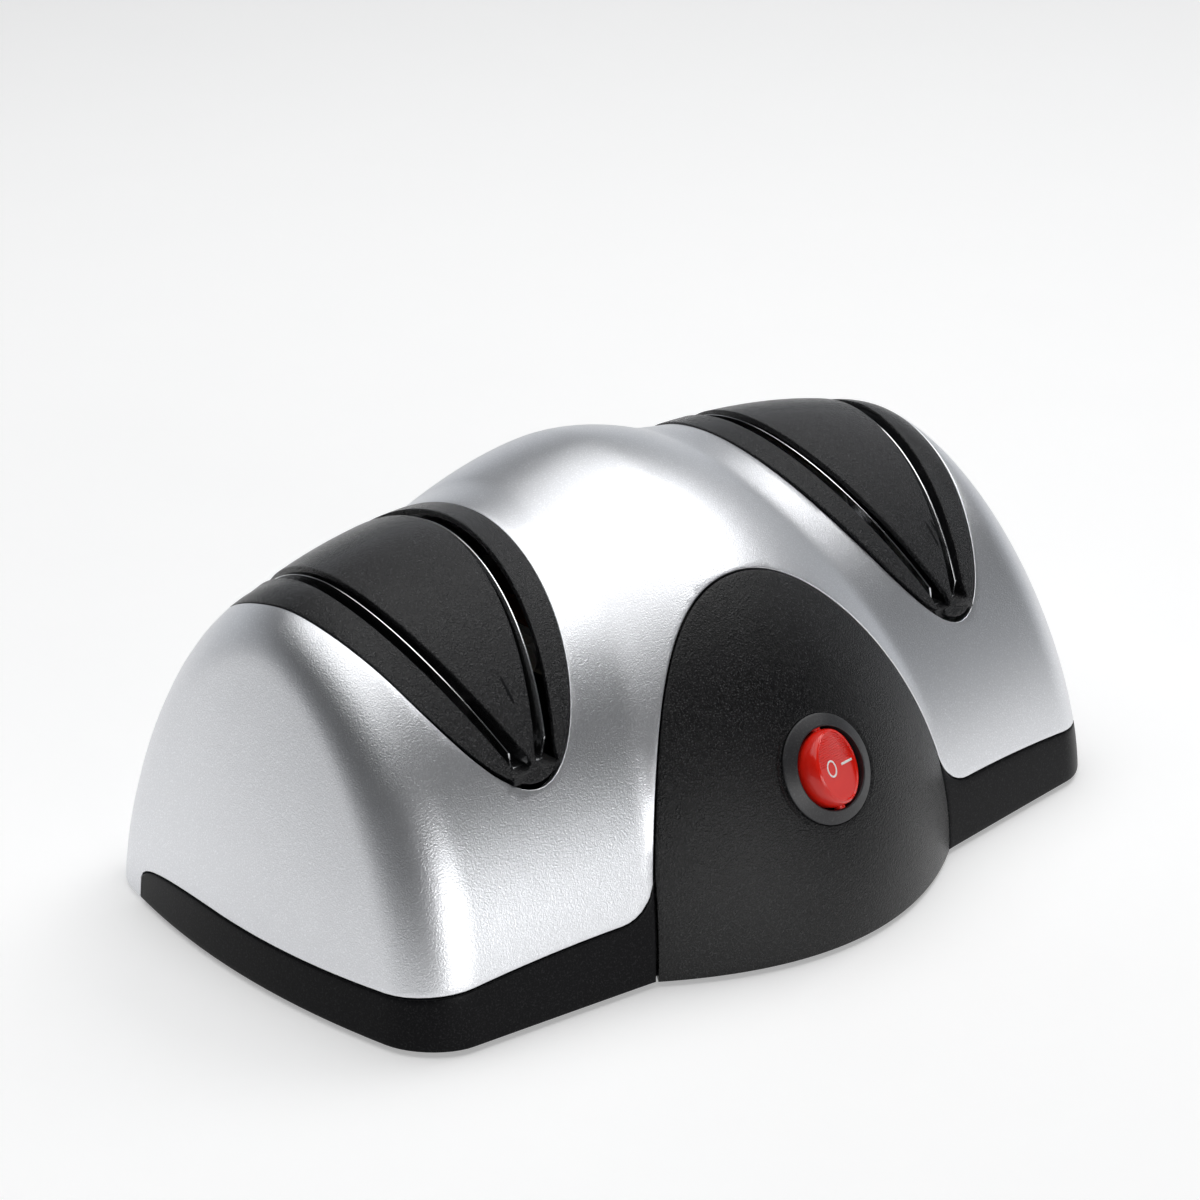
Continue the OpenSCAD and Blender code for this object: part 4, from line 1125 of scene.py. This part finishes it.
spring_pair = joined(guide_spring(-1), guide_spring(1))
for side, name in ((-1, "left"), (1, "right")):
    make_piece(f"blade_springs_{name}", spring_pair if side > 0 else mirrored(spring_pair),
               sprung_strip, "case", [f"guide_springs_{name}"])


def stage_bar(x, t0, t1):
    """A narrow mark pressed into an insert's crown, along it from front to back."""
    steps, deep, proud, rows = 8, -0.3, 0.03, []
    for k in range(steps + 1):
        t = mix(t0, t1, k / steps)
        v = insert_station(x, t)
        here = np.array(insert_point(v, t))
        up = np.cross([1, 0, 0], np.array(insert_point(v, t + 1)) - here)
        up /= np.linalg.norm(up)
        half = np.array([0.24 if 0 < k < steps else 0.12, 0, 0])
        rows.append([here - half + proud * up, here + half + proud * up,
                     here + half + deep * up, here - half + deep * up])
    return skinned(rows)


bar_arc = (48.5, 53.2)
make_piece("stage_one_bar", mirrored(stage_bar(57.9, *bar_arc)), slot_black, "case",
           ())
make_piece("stage_two_bars", joined(stage_bar(62.6, *bar_arc), stage_bar(64.4, *bar_arc)),
           slot_black, "case", ())

# ---- The rocker switch ----

rocker_place = switch_seat @ Matrix.Translation((0, 0, pivot_up))
rocker_place @= Matrix.Rotation(radians(rocker_tilt), 4, "Y")
face_z = rocker_face - pivot_up


def rocker_profile():
    """Half the section of the button: barrel, thin raised rim, and sunk face."""
    swell = [(mix(face_r, rocker_r, cos(a)), mix(0.2, face_z - 0.1, sin(a)))
             for a in span(0, pi / 2, 9)]
    return [(0, -5), (rocker_r - 1.2, -5), (rocker_r - 0.3, -2.2), *swell,
            (face_r - 0.1, face_z), (face_r - 0.28, face_z), (face_r - 0.36, face_z - 0.1),
            (face_r - 0.42, face_z - 0.22), (face_r * 0.5, face_z - 0.24), (0, face_z - 0.24)]


pin_r, pin_end = 1.2, switch_bore - 0.1
pins = lathe(collar(0, pin_r, -pin_end, pin_end), 32)
pins = placed(pins, Matrix.Rotation(pi / 2, 4, "X"))
rib = block(-6.7, 6.7, -0.11, 0.11, -0.1, 0.09, 0.04)
first_rib = (0, rib_first, face_z - 0.235)
face_ribs = repeated(rib, rocker_red, rib_count, first_rib, (0, rib_pitch, 0), 6.9)
rocker_mesh = placed(joined(lathe(rocker_profile()), pins, face_ribs), rocker_place)
make_piece("rocker_button", rocker_mesh, rocker_red, "rocker", ["switch_rocker"], 40)

ring_profile = [(1.4, -0.1), (1.8, -0.1), (1.8, 0.06), (1.72, 0.1), (1.48, 0.1), (1.4, 0.06)]
ring_mark = placed(lathe(ring_profile, 56), Matrix.Translation((-2.6, 0, 0)))
bar_mark = block(1.5, 6.0, -0.25, 0.25, -0.1, 0.1, 0.06)
marks = placed(joined(ring_mark, bar_mark), rocker_place @ Matrix.Translation((0, 0, face_z - 0.2)))
make_piece("rocker_marks", marks, mark_white, "rocker", (), 40)

body_r, bezel_r, cup_floor = switch_hole / 2 - 0.15, bezel_d / 2, -12
bezel_profile = rounded(
    [(0, -switch_depth), (body_r, -switch_depth), (body_r, 0.05), (bezel_r, 0.05),
     (bezel_r, 0.42), (bezel_r - 0.3, 0.6), (switch_bore + 0.25, bezel_h),
     (switch_bore, bezel_h - 0.1), (switch_bore, cup_floor), (0, cup_floor)], 0.1)
make_piece("switch_bezel", placed(lathe(bezel_profile), switch_seat), switch_black, "case",
           ["switch_body"], 50)

# ---- Finishes of the pieces that keep their own shape ----

for finish, names in (
    (sprung_strip, "guide_springs_left guide_springs_right thrust_washers brush_springs"),
    (coarse_wheel, "wheel_coarse"),
    (fine_wheel, "wheel_fine"),
    (hub_brass, "wheel_hubs brush_holders switch_terminals"),
    (zinc_plate, "wheel_washers wheel_nuts bracket_left bracket_right bracket_bolts"),
    (zinc_plate, "motor_screws case_screws"),
    (ground_shaft, "drive_shaft"),
    (bush_bronze, "shaft_bushes"),
    (stacked_sheets, "stator_core armature_core"),
    (winding_copper, "field_coils armature_windings"),
    (bar_copper, "commutator"),
    (brush_carbon, "carbon_brushes"),
    (fan_nylon, "cooling_fan"),
    (foot_rubber, "cord_inlet rubber_feet"),
):
    for name in names.split():
        nodes[name].data.materials.clear()
        nodes[name].data.materials.append(finish.material)

# ---- Table, light and camera ----


def make_floor():
    """A pale table that keeps the shadow. Its colour has a painted shade: it is greyer on the side
    that the camera stands on, which darkens what the rounded edges of the case reflect."""
    half = 4000.0
    edges = np.array([(-half, -half, 0), (half, -half, 0), (half, half, 0), (-half, half, 0)])
    floor = new_object("floor", (edges, [[0, 1, 2, 3]]))
    finish = Finish("white_table", (0.82, 0.82, 0.83), 0.6)
    finish.set(Specular_IOR_Level=0.2)
    tree = finish.tree
    cloud = finish.group(handling_group, Amount=0.05)
    # Painted shade: the table's colour darkens towards the side that the camera stands on.
    way = distance_along(tree, finish.place, (-0.79, -0.62, 0))
    painted_camera_side_shade = stretch(tree, way, 0.17, 0.5, (1, 0.38), "SMOOTHSTEP")
    pale = math_node(tree, "MULTIPLY_ADD", cloud["Cloud"], 0.02, 0.81)
    shaded_floor_tone = math_node(tree, "MULTIPLY", painted_camera_side_shade, pale)
    shaded_floor_colour = tree.nodes.new("ShaderNodeCombineColor")
    for channel in shaded_floor_colour.inputs:
        tree.links.new(shaded_floor_tone, channel)
    tree.links.new(shaded_floor_colour.outputs[0], finish.shader.inputs["Base Color"])
    ray = tree.nodes.new("ShaderNodeLightPath")
    seen = math_node(tree, "MAXIMUM", ray.outputs["Is Camera Ray"], ray.outputs["Is Glossy Ray"])
    seen = math_node(tree, "MAXIMUM", seen, ray.outputs["Is Transmission Ray"])
    tree.links.new(shaded_floor_colour.outputs[0], finish.shader.inputs["Emission Color"])
    glow = math_node(tree, "MULTIPLY", seen, floor_glow)
    tree.links.new(glow, finish.shader.inputs["Emission Strength"])
    floor.data.materials.append(finish.material)


def softbox(name, place, target, width, height, glow):
    """A rectangular lamp; glow is how bright its face looks, where 1 is white."""
    data = bpy.data.lights.new(name, "AREA")
    data.shape, data.size, data.size_y = "RECTANGLE", width, height
    data.energy = glow * pi * width * height
    lamp = put(name, data)
    lamp.location = place
    way = Vector(target) - lamp.location
    lamp.rotation_euler = way.to_track_quat("-Z", "Y").to_euler()


floor_glow = 0.42
make_floor()
softbox("top_light", (-0.05, 0.12, 0.92), (-0.05, 0.1, 0), 1.3, 1.0, 1.55)
softbox("key_light", (0.9, 0.05, 1.2), (0, 0, 0.03), 0.7, 0.7, 2.8)
softbox("front_light", (-0.22, -1.95, 0.36), (0, 0, 0.03), 1.5, 0.66, 4.1)

world = bpy.data.worlds.new("studio")
bpy.context.scene.world = world
world.use_nodes = True
sky = world.node_tree
around = sky.nodes.new("ShaderNodeTexCoord").outputs["Generated"]
behind = distance_along(sky, around, (0.66, 0.75, 0))
paper = stretch(sky, behind, -0.3, 1.0, (0.14, 0.8), "SMOOTHSTEP")
height = sky.nodes.new("ShaderNodeSeparateXYZ")
sky.links.new(around, height.inputs[0])
room = stretch(sky, height.outputs["Z"], 0.1, 0.45, (1.0, 0.22), "SMOOTHSTEP")
glow = math_node(sky, "MULTIPLY", paper, room)
sky.links.new(glow, sky.nodes["Background"].inputs["Strength"])
sky.nodes["Background"].inputs["Color"].default_value = (0.93, 0.96, 1, 1)

# The camera's place and lens were solved from the edges of the case.
camera_data = bpy.data.cameras.new("camera")
camera_data.sensor_width, camera_data.lens = 36, 108.24
camera_data.shift_y = 61 / 1200
camera_data.clip_start, camera_data.clip_end = 0.05, 20
camera = put("camera", camera_data)
camera.matrix_world = Matrix((
    (0.74816774, 0.28041129, -0.60134394, -0.468633),
    (-0.66350963, 0.31618935, -0.67807025, -0.520461),
    (0.0, 0.90630779, 0.42261826, 0.365828),
    (0, 0, 0, 1),
))
bpy.context.scene.camera = camera
bpy.context.scene.view_settings.view_transform = "Standard"
